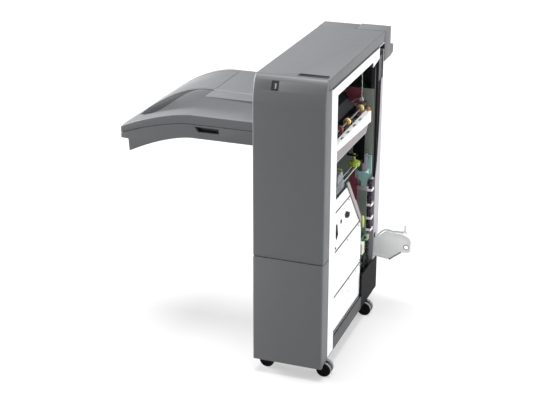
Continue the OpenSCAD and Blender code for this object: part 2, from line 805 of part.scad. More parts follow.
base_pan();
caster_sockets();
front_side_plate();
rear_side_plate();
front_post();
rear_post();
top_frame();
lower_rear_plate();
hinge_post();
cover_hinge_brackets();
inner_panels();
guide_panel();
guide_rail();
entrance_guide();
guide_support();
path_guides();
compile_tray();
guide_rods();
rear_wall_plate();
motor_plate();
drive_motor();
control_board();
board_connectors();
cable_channel();
wire_harness();
harness_clips();
sensor_wire();
left_cover();
rear_cover();
rear_top_cover();
corner_hood();
lower_front_cover();
upper_tray();
docking_bracket();
interface_cable();
interface_plug();
drive_belt();
front_door();
status_window();
top_cover();
tray_deck();
tray_shell();
tray_carriage();
entrance_roller();
idler_roller();
upper_exit_roller();
main_exit_roller();
diverter_gate();
stapler();
jam_knob();
jam_lever();
stack_flag();
caster_fork_front_right();
caster_fork_front_left();
caster_fork_rear_right();
caster_fork_rear_left();
caster_wheel_front_right();
caster_wheel_front_left();
caster_wheel_rear_right();
caster_wheel_rear_left();
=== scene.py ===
"""Looks for a floor-standing staple finisher that docks to a copier.

Lengths in the calls below are millimetres in the cabinet's own coordinates: x is 0 on the
docking side and falls towards the trays, y is 0 at the front, and z is 0 on the floor.
"""
import math
import random

import bmesh
import bpy
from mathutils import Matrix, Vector


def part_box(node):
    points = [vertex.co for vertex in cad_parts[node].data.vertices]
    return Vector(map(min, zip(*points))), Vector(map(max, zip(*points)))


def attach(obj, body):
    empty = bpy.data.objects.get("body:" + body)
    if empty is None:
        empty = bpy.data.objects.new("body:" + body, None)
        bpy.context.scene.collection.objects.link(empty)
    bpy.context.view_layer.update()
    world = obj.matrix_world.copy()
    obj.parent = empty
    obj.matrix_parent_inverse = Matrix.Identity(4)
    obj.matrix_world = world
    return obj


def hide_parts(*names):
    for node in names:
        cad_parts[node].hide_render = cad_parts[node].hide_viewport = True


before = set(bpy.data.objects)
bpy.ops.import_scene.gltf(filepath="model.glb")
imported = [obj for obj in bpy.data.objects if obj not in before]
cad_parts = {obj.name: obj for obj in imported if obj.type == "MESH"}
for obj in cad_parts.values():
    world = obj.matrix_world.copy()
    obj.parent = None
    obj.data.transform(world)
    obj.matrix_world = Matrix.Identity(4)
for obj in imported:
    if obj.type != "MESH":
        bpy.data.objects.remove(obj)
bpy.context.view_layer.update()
scene = bpy.context.scene
MM = 0.001
X0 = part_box("front_post")[1][0]
Y0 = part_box("lower_front_cover")[0][1]


def P(x, y, z):
    """A point of the cabinet, in mm, as metres in the row frame."""
    return Vector((X0 + x * MM, Y0 + y * MM, z * MM))


# ---------------------------------------------------------------- camera and light
def aim(obj, target):
    obj.rotation_euler = (Vector(target) - obj.location).to_track_quat("-Z", "Y").to_euler()


cam_data = bpy.data.cameras.new("camera")
cam_data.lens = 86.6
cam_data.sensor_width = 36
camera = bpy.data.objects.new("camera", cam_data)
scene.collection.objects.link(camera)
camera.location = (1.40475, -3.8476, 2.0938)
aim(camera, (-0.01985, -0.0005, 0.4474))
scene.camera = camera
scene.view_settings.view_transform = "Standard"


def soft_sun(name, direction, strength, angle):
    """A very wide, even source. direction points from the object to the light."""
    data = bpy.data.lights.new(name, "SUN")
    data.energy = strength * math.pi
    data.angle = math.radians(angle)
    light = bpy.data.objects.new(name, data)
    scene.collection.objects.link(light)
    light.rotation_euler = Vector(direction).to_track_quat("Z", "Y").to_euler()
    return light


top_light = soft_sun("top_light", (0, 0, 1), 1.6, 30)
soft_sun("front_light", (-0.2, -0.7, 1.0), 0.06, 60)
soft_sun("left_light", (-1.0, 0.1, 0.3), 2.7, 40)
soft_sun("right_light", (1.0, 0.3, 0.42), 0.78, 40)

# the camera sees a white backdrop, while the object is lit by a dim one
BACKDROP_LIGHT, BACKDROP_SEEN = 0.1, 1.0
world = bpy.data.worlds.new("studio")
scene.world = world
world.use_nodes = True
sky = world.node_tree
backdrop = sky.nodes["Background"].inputs
backdrop["Color"].default_value = (1, 1, 1, 1)
seen = sky.nodes.new("ShaderNodeMapRange")
seen.inputs["To Min"].default_value = BACKDROP_LIGHT
seen.inputs["To Max"].default_value = BACKDROP_SEEN
rays = sky.nodes.new("ShaderNodeLightPath")
sky.links.new(rays.outputs["Is Camera Ray"], seen.inputs["Value"])
sky.links.new(seen.outputs["Result"], backdrop["Strength"])


# ---------------------------------------------------------------- materials
def srgb(r, g, b):
    lin = [c / 255 / 12.92 if c <= 10 else ((c / 255 + 0.055) / 1.055) ** 2.4 for c in (r, g, b)]
    return (*lin, 1)


def shade(colour, k):
    return tuple(min(1, max(0, c * k)) for c in colour[:3]) + (1,)


class Finish:
    """A principled material whose colour, roughness and bump come from noise in object space.

    colour is red, green and blue from 0 to 255, as on a screen.
    """

    def __init__(self, name, colour, rough=0.5, metallic=0.0, **shader):
        self.mat = bpy.data.materials.new(name)
        self.mat.use_nodes = True
        self.tree = self.mat.node_tree
        self.shader = self.tree.nodes["Principled BSDF"]
        self.colour = srgb(*colour)
        self.set("Base Color", self.colour)
        self.set("Roughness", rough)
        self.set("Metallic", metallic)
        for key, value in shader.items():
            self.set(key.replace("_", " "), value)
        self.coord = self.tree.nodes.new("ShaderNodeTexCoord")

    def set(self, socket, value):
        self.shader.inputs[socket].default_value = value

    def node(self, kind, **values):
        made = self.tree.nodes.new(kind)
        for key, value in values.items():
            made.inputs[key].default_value = value
        return made

    def link(self, a, b):
        self.tree.links.new(a, b)

    def noise(self, size_mm, stretch=(1, 1, 1), detail=3):
        mapping = self.node("ShaderNodeMapping", Scale=[s * 1000 / size_mm for s in stretch])
        self.link(self.coord.outputs["Object"], mapping.inputs["Vector"])
        made = self.node("ShaderNodeTexNoise", Scale=1.0, Detail=detail)
        self.link(mapping.outputs["Vector"], made.inputs["Vector"])
        return made.outputs["Fac"]

    def tint(self, fac, low, high):
        """Colour that drifts between two multiples of the base colour."""
        ramp = self.node("ShaderNodeValToRGB")
        for stop, place, k in zip(ramp.color_ramp.elements, (0.35, 0.65), (low, high)):
            stop.position = place
            stop.color = shade(self.colour, k)
        self.link(fac, ramp.inputs["Fac"])
        self.link(ramp.outputs["Color"], self.shader.inputs["Base Color"])

    def gloss(self, fac, low, high):
        span = self.node("ShaderNodeMapRange", **{"To Min": low, "To Max": high})
        self.link(fac, span.inputs["Value"])
        self.link(span.outputs["Result"], self.shader.inputs["Roughness"])

    def bump(self, fac, depth_mm, strength=0.5):
        made = self.node("ShaderNodeBump", Strength=strength, Distance=depth_mm * MM)
        self.link(fac, made.inputs["Height"])
        self.link(made.outputs["Normal"], self.shader.inputs["Normal"])


def moulded(name, colour, rough=0.5, grain=0.9, depth=0.05, spread=0.012, **shader):
    """Moulded plastic: a fine spark-eroded grain, a faint cloudiness and handling marks."""
    f = Finish(name, colour, rough, **shader)
    f.tint(f.noise(55, detail=6), 1 - spread, 1 + spread)
    f.gloss(f.noise(24, detail=5), rough - 0.06, rough + 0.08)
    f.bump(f.noise(grain, detail=2), depth, 0.35)
    return f.mat


def painted(name, colour, rough=0.38, spread=0.02, **shader):
    """Powder or spray paint on sheet: orange peel, and a little dust in its gloss."""
    f = Finish(name, colour, rough, **shader)
    f.tint(f.noise(40, detail=5), 1 - spread, 1 + spread)
    f.gloss(f.noise(15, detail=4), rough - 0.08, rough + 0.1)
    f.bump(f.noise(1.6, detail=2), 0.04, 0.3)
    return f.mat


def plated(name, colour, rough=0.34, stretch=(1, 1, 14)):
    """Zinc-plated or drawn steel: streaks along one way and cloudy spangle."""
    f = Finish(name, colour, rough, 1.0)
    f.tint(f.noise(9, detail=6), 0.86, 1.1)
    f.gloss(f.noise(3, stretch, 4), rough - 0.1, rough + 0.14)
    f.bump(f.noise(0.8, stretch, 3), 0.02, 0.3)
    return f.mat


def rubbery(name, colour, rough=0.72):
    """Rubber, foam or a soft sheath: matt, mottled and slightly rough."""
    f = Finish(name, colour, rough)
    f.tint(f.noise(6, detail=6), 0.85, 1.15)
    f.gloss(f.noise(4, detail=4), rough - 0.1, rough + 0.12)
    f.bump(f.noise(0.6, detail=3), 0.05, 0.5)
    return f.mat


def circuit(name):
    """Solder mask with copper tracks showing through it as lighter lines, and small pads."""
    f = Finish(name, (20, 74, 44), 0.32)
    bricks = f.node("ShaderNodeTexBrick", **{"Scale": 1.0, "Mortar Size": 0.09, "Brick Width": 0.9,
        "Row Height": 0.34, "Color1": shade(f.colour, 0.9), "Color2": shade(f.colour, 1.15),
        "Mortar": srgb(66, 128, 84)})
    turn = f.node("ShaderNodeMapping", Rotation=(0, math.radians(90), math.radians(90)),
                  Scale=(130, 130, 130))
    f.link(f.coord.outputs["Object"], turn.inputs["Vector"])
    f.link(turn.outputs["Vector"], bricks.inputs["Vector"])
    f.link(bricks.outputs["Color"], f.shader.inputs["Base Color"])
    f.bump(bricks.outputs["Fac"], -0.05, 0.4)
    f.gloss(f.noise(5), 0.25, 0.4)
    return f.mat


M = {
    "cover": moulded("cover_grain", (91, 92, 94), 0.52),
    "lid": moulded("lid_grain", (93, 94, 96), 0.5),
    "tray": moulded("tray_grain", (95, 96, 98), 0.36, grain=1.1),
    "white": painted("white_paint", (230, 231, 232)),
    "post": painted("post_paint", (158, 156, 162)),
    "pan": painted("pan_paint", (58, 59, 61), Specular_IOR_Level=0.2),
    "black_sheet": painted("black_sheet", (20, 20, 22), 0.6, Specular_IOR_Level=0.06),
    "grey_green": painted("grey_green_paint", (142, 150, 142), 0.45),
    "maroon": painted("maroon_paint", (150, 72, 88), 0.42),
    "teal": painted("teal_paint", (170, 208, 204), 0.4),
    "pink_grey": painted("pink_grey_paint", (128, 120, 124), 0.4),
    "beige": moulded("beige_plastic", (150, 138, 138), 0.45),
    "zinc": plated("zinc_plate", (176, 178, 182)),
    "shaft": plated("drawn_steel", (190, 191, 194), 0.25, (14, 1, 14)),
    "motor": plated("motor_can", (108, 112, 116), 0.4, (1, 1, 10)),
    "board": circuit("solder_mask"),
    "connector": moulded("connector_plastic", (236, 234, 222), 0.35, grain=0.5),
    "chip": moulded("chip_resin", (34, 34, 37), 0.4, grain=0.4),
    "black": moulded("black_plastic", (34, 34, 37), 0.42),
    "caster": moulded("caster_plastic", (9, 9, 10), 0.5, Specular_IOR_Level=0.08),
    "tread": rubbery("caster_tread", (112, 113, 117)),
    "rubber": rubbery("roller_rubber", (70, 70, 74)),
    "belt": rubbery("belt_rubber", (34, 34, 36)),
    "cream": moulded("cream_plastic", (236, 210, 150), 0.4),
    "amber": moulded("amber_plastic", (196, 130, 52), 0.35),
    "red_brown": moulded("red_brown_plastic", (132, 70, 62), 0.45),
    "gate": moulded("gate_plastic", (58, 58, 62), 0.35),
    "stapler": moulded("stapler_plastic", (112, 118, 126), 0.42),
    "lime": moulded("lime_plastic", (158, 178, 62), 0.35),
    "clip": moulded("clip_nylon", (240, 238, 240), 0.35, grain=0.5),
    "sheath": rubbery("cable_sheath", (214, 215, 218), 0.5),
    "window": moulded("window_tint", (62, 63, 66), 0.14, grain=2.5, depth=0.01),
    "lens": moulded("lens_frost", (150, 152, 154), 0.25, grain=0.4),
    # a near-black sheet put into hollows: painted shade
    "shade_black": moulded("painted_shade_black", (26, 26, 29), 0.6),
    # a lighter copy of the tray plastic for the deck's upward faces: painted light
    "tray_top": moulded("tray_top_gloss", (108, 109, 111), 0.34, depth=0.02, spread=0.006),
    # the upper tray's plastic, lighter than the same plastic on the trays below: painted light
    "sheet": moulded("sheet_painted_light", (106, 107, 109), 0.36, grain=1.1),
    # the upper tray's front lip, lighter again: painted light on a face the lamps leave in shade
    "sheet_lip": moulded("sheet_lip_painted_light", (118, 119, 121), 0.4, grain=1.1),
    "pink_bar": painted("pink_bar_paint", (190, 176, 182)),
    "bracket": painted("bracket_paint", (250, 250, 251), 0.4),
    # a dark strip under the lid's edge: painted shadow
    "gap_shade": rubbery("painted_gap_shadow", (48, 48, 50)),
    # near-black strips along seams and edges: painted shadow
    "shadow_strip": rubbery("painted_shadow_strip", (26, 26, 28)),
    "wire_pale": moulded("wire_pale", (206, 222, 208), 0.35),
}
WIRE_COLOURS = [(46, 30, 78), (24, 22, 32), (70, 40, 96), (120, 116, 128), (34, 28, 60),
                (58, 34, 84), (20, 20, 26), (96, 44, 60)]
for i, colour in enumerate(WIRE_COLOURS):
    M[f"wire_{i}"] = moulded(f"wire_{i}", colour, 0.38, grain=1.4)


# ---------------------------------------------------------------- shapes
ROUNDED_OVER, SHARP_OVER = 35, 38   # degrees between two faces


def raw(bm):
    """An unfinished solid, its faces turned outwards."""
    bmesh.ops.recalc_face_normals(bm, faces=bm.faces)
    mesh = bpy.data.meshes.new("raw")
    bm.to_mesh(mesh)
    bm.free()
    obj = bpy.data.objects.new("raw", mesh)
    scene.collection.objects.link(obj)
    return obj


def on_axis(axis, u, v, t):
    """A point t mm along an axis, with the two other coordinates in their usual order."""
    return {"x": P(t, u, v), "y": P(u, t, v), "z": P(u, v, t)}[axis]


def circle(centre, r, k, n):
    """The k-th of n points round a circle."""
    turn = 2 * math.pi * k / n
    return centre[0] + r * math.cos(turn), centre[1] + r * math.sin(turn)


def prism(profile, axis, a, b, edge=0, segments=4, pick=None):
    """A 2D outline pushed along an axis. pick(u, v, t) says which cap edges get rounded."""
    bm = bmesh.new()
    rings = [[bm.verts.new(on_axis(axis, u, v, t)) for u, v in profile] for t in (a, b)]
    bm.faces.new(rings[0])
    bm.faces.new(rings[1])
    n = len(profile)
    for i in range(n):
        bm.faces.new([rings[0][i], rings[0][(i + 1) % n], rings[1][(i + 1) % n], rings[1][i]])
    if edge:
        bmesh.ops.recalc_face_normals(bm, faces=bm.faces)
        chosen = []
        for k, t in enumerate((a, b)):
            for i in range(n):
                (u0, v0), (u1, v1) = profile[i], profile[(i + 1) % n]
                if pick is None or pick((u0 + u1) / 2, (v0 + v1) / 2, t):
                    chosen.append(bm.edges.get([rings[k][i], rings[k][(i + 1) % n]]))
        bmesh.ops.bevel(bm, geom=chosen, offset=edge * MM, segments=segments, profile=0.5,
                        affect="EDGES", clamp_overlap=False)
    return raw(bm)


def soften(obj, width, wanted):
    """Round the edges for which wanted(one end, other end) holds, given in metres."""
    bm = bmesh.new()
    bm.from_mesh(obj.data)
    chosen = [e for e in bm.edges if wanted(*(v.co for v in e.verts))]
    bmesh.ops.bevel(bm, geom=chosen, offset=width * MM, segments=4, profile=0.5, affect="EDGES")
    bm.to_mesh(obj.data)
    bm.free()


def box(lo, hi):
    return prism([(lo[0], lo[1]), (hi[0], lo[1]), (hi[0], hi[1]), (lo[0], hi[1])],
                 "z", lo[2], hi[2])


def lathe(axis, centre, profile, n=32):
    """Turned shape. profile is (distance along the axis, radius), centre the other two mm.

    A profile that ends where it starts makes a ring with an open middle.
    """
    bm = bmesh.new()
    rings = []
    ring_shape = profile[0] == profile[-1]
    if ring_shape:
        profile = profile[:-1]
    for t, r in profile:
        if r <= 0:
            rings.append([bm.verts.new(on_axis(axis, *centre, t))])
        else:
            rings.append([bm.verts.new(on_axis(axis, *circle(centre, r, k, n), t))
                          for k in range(n)])
    for p, q in zip(rings, rings[1:] + (rings[:1] if ring_shape else [])):
        for k in range(n):
            loop = [p[k % len(p)], p[(k + 1) % len(p)], q[(k + 1) % len(q)], q[k % len(q)]]
            loop = list(dict.fromkeys(loop))
            if len(loop) > 2:
                bm.faces.new(loop)
    for ring in () if ring_shape else (rings[0], rings[-1]):
        if len(ring) > 2:
            bm.faces.new(ring)
    return raw(bm)


def rod(axis, centre, a, b, r, n=24, chamfer=0.4):
    c = min(chamfer, r * 0.4, abs(b - a) * 0.3)
    return lathe(axis, centre, [(a, r - c), (a + c, r), (b - c, r), (b, r - c)], n)


def sweep(points, r, n=10):
    """A round tube along points, in mm."""
    pts = [P(*p) for p in points]
    bm = bmesh.new()
    rings, side = [], None
    for i, p in enumerate(pts):
        d = (pts[min(i + 1, len(pts) - 1)] - pts[max(i - 1, 0)]).normalized()
        if side is None:
            side = d.cross(Vector((0.31, 0.87, 0.12))).normalized()
        side = (side - d * side.dot(d)).normalized()
        other = d.cross(side)
        rings.append([bm.verts.new(p + (side * math.cos(2 * math.pi * k / n)
                                        + other * math.sin(2 * math.pi * k / n)) * r * MM)
                      for k in range(n)])
    for p, q in zip(rings, rings[1:]):
        for k in range(n):
            bm.faces.new([p[k], p[(k + 1) % n], q[(k + 1) % n], q[k]])
    bm.faces.new(rings[0])
    bm.faces.new(rings[-1])
    return raw(bm)


def smooth_path(points, steps=6):
    """Catmull-Rom curve through points."""
    out = []
    last = len(points) - 1
    for i in range(last):
        p0, p1, p2, p3 = (Vector(points[max(0, min(last, i + k))]) for k in (-1, 0, 1, 2))
        for s in range(steps):
            t = s / steps
            out.append(0.5 * ((2 * p1) + (p2 - p0) * t + (2 * p0 - 5 * p1 + 4 * p2 - p3) * t * t
                              + (3 * p1 - p0 - 3 * p2 + p3) * t ** 3))
    return [tuple(p) for p in out] + [tuple(points[-1])]


def merge(objs):
    bm = bmesh.new()
    for o in objs:
        bm.from_mesh(o.data)
        bpy.data.objects.remove(o)
    return raw(bm)


def cut(obj, cutters):
    """obj with every cutter taken out of it."""
    for cutter in cutters:
        mod = obj.modifiers.new("cut", "BOOLEAN")
        mod.operation = "DIFFERENCE"
        mod.solver = "MANIFOLD"
        mod.object = cutter
        bake(obj)
        bpy.data.objects.remove(cutter)
    return obj


def bake(obj):
    graph = bpy.context.evaluated_depsgraph_get()
    mesh = bpy.data.meshes.new_from_object(obj.evaluated_get(graph))
    obj.modifiers.clear()
    obj.data = mesh


def round_edges(obj, width, segments=2):
    mod = obj.modifiers.new("edges", "BEVEL")
    mod.width = width * MM
    mod.segments = segments
    mod.limit_method = "ANGLE"
    mod.angle_limit = math.radians(ROUNDED_OVER)
    mod.use_clamp_overlap = True


def piece(name, objs, mat, body="frame", bevel=0, segments=2, replaces=None):
    """One finished piece of the object, from one raw solid or several."""
    obj = merge(objs) if isinstance(objs, (list, tuple)) else objs
    obj.name = obj.data.name = name
    if bevel:
        round_edges(obj, bevel, segments)
        bake(obj)
        obj.data.name = name
    obj.data.materials.clear()
    obj.data.materials.append(M[mat])
    obj.data.polygons.foreach_set("use_smooth", [True] * len(obj.data.polygons))
    obj.data.set_sharp_from_angle(angle=math.radians(SHARP_OVER))
    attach(obj, body)
    if replaces:
        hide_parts(replaces)
    return obj


def dress(node, mat, bevel):
    """A CAD node whose shape is right: a better material, and softened edges."""
    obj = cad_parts[node]
    obj.data.materials.clear()
    obj.data.materials.append(M[mat])
    weld = obj.modifiers.new("weld", "WELD")
    weld.merge_threshold = 0.01 * MM
    round_edges(obj, bevel)


def screw(axis, centre, t, out, r=3.2):
    """A pan-head screw with a driver recess. out is +1 or -1, the way its head points."""
    return lathe(axis, centre, [(t, r), (t + out * 1.1, r), (t + out * 1.9, r * 0.82),
        (t + out * 2.2, r * 0.5), (t + out * 1.0, r * 0.34), (t + out * 1.0, 0)], 16)


# ---------------------------------------------------------------- cabinet covers
W, D, H = 235, 719, 1008   # the cabinet without its docking bracket, hood and trays
SKIN = 2.5                 # thickness of the moulded covers
SEAM = 414                 # top of the lower front cover
FRONT_Y, BROW_Y, BROW_Z = 2, 35, 928
SIDE_Y = 63.5              # where the front covers' sides end
LID_Z = 974
CREASE = math.radians(20)


def brow(inset, steps=26):
    """The curve over the front door's top, which starts with a slight crease."""
    points = []
    for i in range(steps + 1):
        a = CREASE + (math.pi / 2 - CREASE) * i / steps
        rise = (math.sin(a) - math.sin(CREASE)) / (1 - math.sin(CREASE))
        points.append((BROW_Y - (BROW_Y - FRONT_Y - inset) * math.cos(a) / math.cos(CREASE),
                       BROW_Z + (H - BROW_Z - inset) * rise))
    return points


def front_piece(y, z0, top, back):
    """Outer block of a front cover: flat front, rounded upright corners."""
    profile = [(y, z0)] + top + back
    return prism(profile, "x", -W, 0, 6, 5,
                 lambda u, v, t: u < BROW_Y - 0.4 and z0 + 1 < v < H - 0.2)


door = front_piece(FRONT_Y, SEAM + 2, [(FRONT_Y, BROW_Z)] + brow(0)[1:],
    [(BROW_Y, LID_Z - 2), (SIDE_Y, LID_Z - 2), (SIDE_Y, SEAM + 2)])
inner_front = FRONT_Y + SKIN
hollow = prism([(inner_front, 400), (inner_front, BROW_Z)] + brow(SKIN)[1:]
    + [(BROW_Y, H - 9), (80, H - 9), (80, 400)], "x", -W + SKIN, -SKIN, 3.5, 4,
    lambda u, v, t: u < 30 and v < H - 12)
hinge_side = box((-W - 5, 14, 390), (-20, 90, 925.5))
brow_side = box((-W - 5, BROW_Y, 920), (-SKIN - 4, 90, 1020))
window_bed = box((-175.9, -20, 965.4), (-153.1, 24, 994.2))
cut(door, [hollow, hinge_side, brow_side, window_bed])
hinge_bar = [rod("z", (-229, 8), 442, 900, 4.6), box((-229, 4, 442), (-221, 9, 900))]
ribs = [box((-225, 4, z), (-12, 12, z + 2)) for z in (470, 600, 730, 860)]
lip = box((-W + 3, 32.5, H - 12), (-3, 34.8, H - 2.6))
door = piece("front_door_cover", [door, *hinge_bar, *ribs, lip], "cover", "door", 0.7,
             replaces="front_door")
crease = P(0, FRONT_Y, BROW_Z)
for edge in door.data.edges:
    ends = [door.data.vertices[v].co - crease for v in edge.vertices]
    if all(abs(end.z) < 0.2 * MM and abs(end.y) < 8 * MM for end in ends):
        edge.use_edge_sharp = True

FOOT_Z = 48
lower = front_piece(0, FOOT_Z, [(0, SEAM)], [(SIDE_Y, SEAM), (SIDE_Y, FOOT_Z)])
cut(lower, [prism([(2.5, 40), (2.5, 500), (80, 500), (80, 40)], "x", -W + SKIN, -SKIN, 3.5, 4,
    lambda u, v, t: u < 30 and 41 < v < 499), box((-W - 5, 14.5, 30), (-20, 90, 430)),
    box((-3.2, 16, 40), (5, 70, 53))])
lower_ribs = [box((-228, 2, z), (-12, 10, z + 2)) for z in (100, 200, 300, 380)]
piece("lower_front_panel", [lower, *lower_ribs], "cover", bevel=0.7,
      replaces="lower_front_cover")

WIN_X = (-175.7, -153.3)


def pane(out, inside, x0, x1, lo=8, hi=17):
    """A slab that follows the brow, between two depths below it and two of its points."""
    return prism(brow(out)[lo:hi] + brow(inside)[lo:hi][::-1], "x", x0, x1)


piece("status_lens", pane(0.7, 3.2, *WIN_X), "window", "door", 0.5, replaces="status_window")
ring = pane(-0.2, 1.6, WIN_X[0] - 0.6, WIN_X[1] + 0.6)
cut(ring, [box((WIN_X[0] + 3.4, -20, 970), (WIN_X[1] - 3.4, 40, 990))])
piece("status_bezel", ring, "black", "door", 0.3)
piece("status_light", pane(0.35, 1.4, -164.6, -160.4, 9, 14), "lens", "door", 0.25)

lid = prism([(-W, LID_Z), (-W, H), (0, H), (0, LID_Z)], "y", 36.5, 650.5)
top_z, hair = P(0, 0, H).z, 0.01 * MM
soften(lid, 3, lambda a, b: min(a.z, b.z) > top_z - hair and abs(a.x - b.x) < hair)


def notch():
    """The hand hole in the top cover's front edge, as a solid to cut with."""
    solid = prism([(-106, 45), (-106, 73), (-8, 73), (-8, 45)], "z", H - 8.5, H + 5)
    soften(solid, 5, lambda a, b: abs(a.z - b.z) > 10 * hair)
    return solid


cut(lid, [prism([(-W + SKIN, 960), (-W + SKIN, H - SKIN), (-SKIN, H - SKIN), (-SKIN, 960)], "y", 39,
    648), *[box((-240, y, 970), (-SKIN - 214, y + 18, 985.5)) for y in (60, 625)],
    box((-W - 2, 30, 970), (2, 39.2, 993.5)), box((-W - 2, 647.8, 970), (2, 655, 993.5)), notch()])
pocket = cut(box((-110, 41, H - 11.5), (-4, 77, H - 1)), [notch()])
ears = []
for y in (60, 635):
    ear = prism([(-232.6, 975), (-232.6, H - 3), (-223, H - 3), (-223, 979)], "y", y, y + 7)
    ears.append(cut(ear, [rod("y", (-229, 978), y - 3, y + 10, 2.56)]))
lid_ribs = [box((-228, y, 999), (-8, y + 2, 1005.8)) for y in (150, 250, 350, 450, 550)]
piece("top_cover_panel", [lid, pocket, *ears, *lid_ribs], "lid", "top_cover", 0.6,
      replaces="top_cover")

# left wall, with its two exits and the two slots for the tray's arms
EXITS = ((816, 862), (884, 906))
ARM_SLOTS = (175, 455)
wall = box((-W, 15.5, FOOT_Z), (-W + SKIN, 716, 970.5))
cut(wall, [box((-240, 14, 926), (-230, 37, LID_Z))]
    + [box((-240, 150, z0), (-230, 495, z1)) for z0, z1 in EXITS]
    + [box((-240, y, 294), (-230, y + 30, 774)) for y in ARM_SLOTS])
trim = [cut(box((-233.5, 146, z0 - 4), (-230.5, 499, z1 + 4)),
            [box((-240, 150, z0), (-228, 495, z1))]) for z0, z1 in EXITS[::-1]]
trim += [cut(box((-233.5, y - 3, 291), (-231, y + 33, 777)),
             [box((-240, y, 294), (-228, y + 30, 774))]) for y in ARM_SLOTS]
lugs = []
for y in (311, 332):
    lug = prism([(-232.8, 863), (-232.8, 872), (-219, 872), (-219, 850), (-223, 848), (-229, 850),
                 (-231, 862.5)], "y", y, y + 5)
    lugs.append(cut(lug, [rod("y", (-224, 856), y - 3, y + 8, 3.06)]))
vents = [box((-240, 560 + 14 * i, 120), (-230, 566 + 14 * i, 240)) for i in range(9)]
cut(wall, vents)
piece("tray_side_wall", [wall, *trim, *lugs], "cover", bevel=0.6, replaces="left_cover")

LOUVRE_Z = range(110, 230, 13)
back = prism([(-W, FOOT_Z), (-W, LID_Z), (-32, LID_Z), (-32, FOOT_Z)], "y", D - SKIN, D)
cut(back, [box((-200, D - 5, z), (-70, D + 3, z + 5)) for z in LOUVRE_Z]
    + [box((-228, D - 0.7, z), (-39, D + 2, z + 2.4)) for z in (320, 610)])
hoods = [prism([(D - 2.6, z + 5), (D - 0.2, z + 5), (D - 2.6, z - 1), (D - 5, z - 1)],
               "x", -200, -70) for z in LOUVRE_Z]
inner_side = box((-34.5, 650, 60), (-32, D - SKIN, 900))
piece("rear_panel", [back, inner_side], "cover", bevel=0.6, replaces="rear_cover")
piece("rear_louvres", hoods, "cover", bevel=0.3)
piece("rear_screws", [screw("y", (x, z), D - 2.6, 1, 3.4) for x in (-226, -41)
    for z in (75, 330, 600, 955)], "zinc")

rear_top = prism([(-W, LID_Z), (-W, H), (-106.5, H), (-106.5, LID_Z)], "y", 652, D, 2.5, 4,
                 lambda u, v, t: t > 700 and v > LID_Z + 1 or u < -W + 1 and t > 700)
cut(rear_top, [box((-W + SKIN, 640, 960), (-100, D - SKIN, H - SKIN)),
               box((-W - 3, 640, 960), (-W + 20, 651.9, 1010))])
piece("rear_top_panel", rear_top, "lid", bevel=0.7, replaces="rear_top_cover")

HOOD = H - 106   # bottom of the corner hood
hood = prism([(-105, HOOD), (-105, H), (0, H), (0, HOOD)], "y", 654, 732, 3.5, 4,
             lambda u, v, t: t > 700 and v > HOOD + 1)
cut(hood, [box((-105 + SKIN, 640, HOOD - 4), (-SKIN, 729.5, H - SKIN)),
           box((-110, 640, HOOD - 4), (-100, D, H - SKIN))])
lip_out = prism([(730, HOOD), (732, HOOD), (765, HOOD + 4.2), (771, HOOD + 8), (771, HOOD + 31),
    (767, HOOD + 35.5), (732, HOOD + 41), (730, HOOD + 41)], "x", -60, 0, 3, 3,
    lambda u, v, t: u > 733)
cut(lip_out, [prism([(720, HOOD + 3), (732, HOOD + 3), (764, HOOD + 7), (768, HOOD + 10),
    (768, HOOD + 29), (765, HOOD + 32.5), (732, HOOD + 38), (720, HOOD + 38)], "x", -57.5, -SKIN)])
piece("corner_hood_shell", [hood, lip_out], "lid", bevel=0.6, replaces="corner_hood")
# a near-black sheet inside the open hood: painted shade for its hollow
piece("hood_shade_sheet", box((-98, 656, HOOD + 4), (-6, 658, H - 5)), "shade_black", bevel=0.4)

# ---------------------------------------------------------------- trays
END, TIP, FLAT = -236.5, -754.5, -500
TRAY_Y = (145, 500)
TRAY_Z = 810


def droop(x, drop, reach=FLAT - TIP):
    return 0 if x > FLAT else drop * ((FLAT - x) / reach) ** 1.6


def spread(a, b, n):
    return [a + (b - a) * i / n for i in range(n + 1)]


run = spread(END, FLAT, 6)[:-1] + spread(FLAT, TIP, 26)
deck_top = [(x, TRAY_Z - droop(x, 66)) for x in run]
deck_low = [(x, TRAY_Z - 31.4 - droop(x, 58)) for x in run]
deck = prism(deck_top + deck_low[::-1], "y", *TRAY_Y, 5, 5,
             lambda u, v, t: v > TRAY_Z - 16 - droop(u, 62) and TIP < u < END)
deck = piece("stack_tray_deck", deck, "tray", "tray", 0.9, 3, replaces="tray_deck")
# faces that point up get the lighter copy: painted light on the deck's top, which the upper tray
# shades
deck.data.materials.append(M["tray_top"])
for face in deck.data.polygons:
    if face.normal.z > 0.5:
        face.material_index = 1

FOOT = TIP + 25
shell_top = [(x, TRAY_Z - 32.6 - droop(x, 58)) for x in run]
under = spread(FOOT + 5, FLAT, 22)
shell_low = [(TIP, 702), (FOOT, 701), (FOOT + 3, 659)] + [
    (x, 730 - 71 * max(0, (FLAT - x) / 226) ** 1.6) for x in under] + [(END, 730)]
shell = prism(shell_top + shell_low, "y", *TRAY_Y, 2, 3,
              lambda u, v, t: v < 740 and TIP + 2 < u < END)
grip_hole = prism([(-490, 772.5), (-403, 772.5), (-403, 753), (-477, 753)], "y", 140, 163, 2, 3,
    lambda u, v, t: t > 150)
under_well = prism([(-480, 720), (-470, 742), (-260, 742), (-250, 720)], "y", 160, 485)
cut(shell, [grip_hole, under_well])
well_ribs = [box((-478, y, 731), (-252, y + 2.4, 744)) for y in (205, 250, 300, 350, 400, 445)]
piece("stack_tray_shell", [shell, *well_ribs], "tray", "tray", 0.8, 3, replaces="tray_shell")
visor = prism([(-493, 771), (-490, 775.5), (-402, 775.5), (-400, 771), (-400, 752), (-404, 752),
               (-405, 770)], "y", 145.2, 147.5)
piece("grip_visor", visor, "tray", "tray", 0.6)
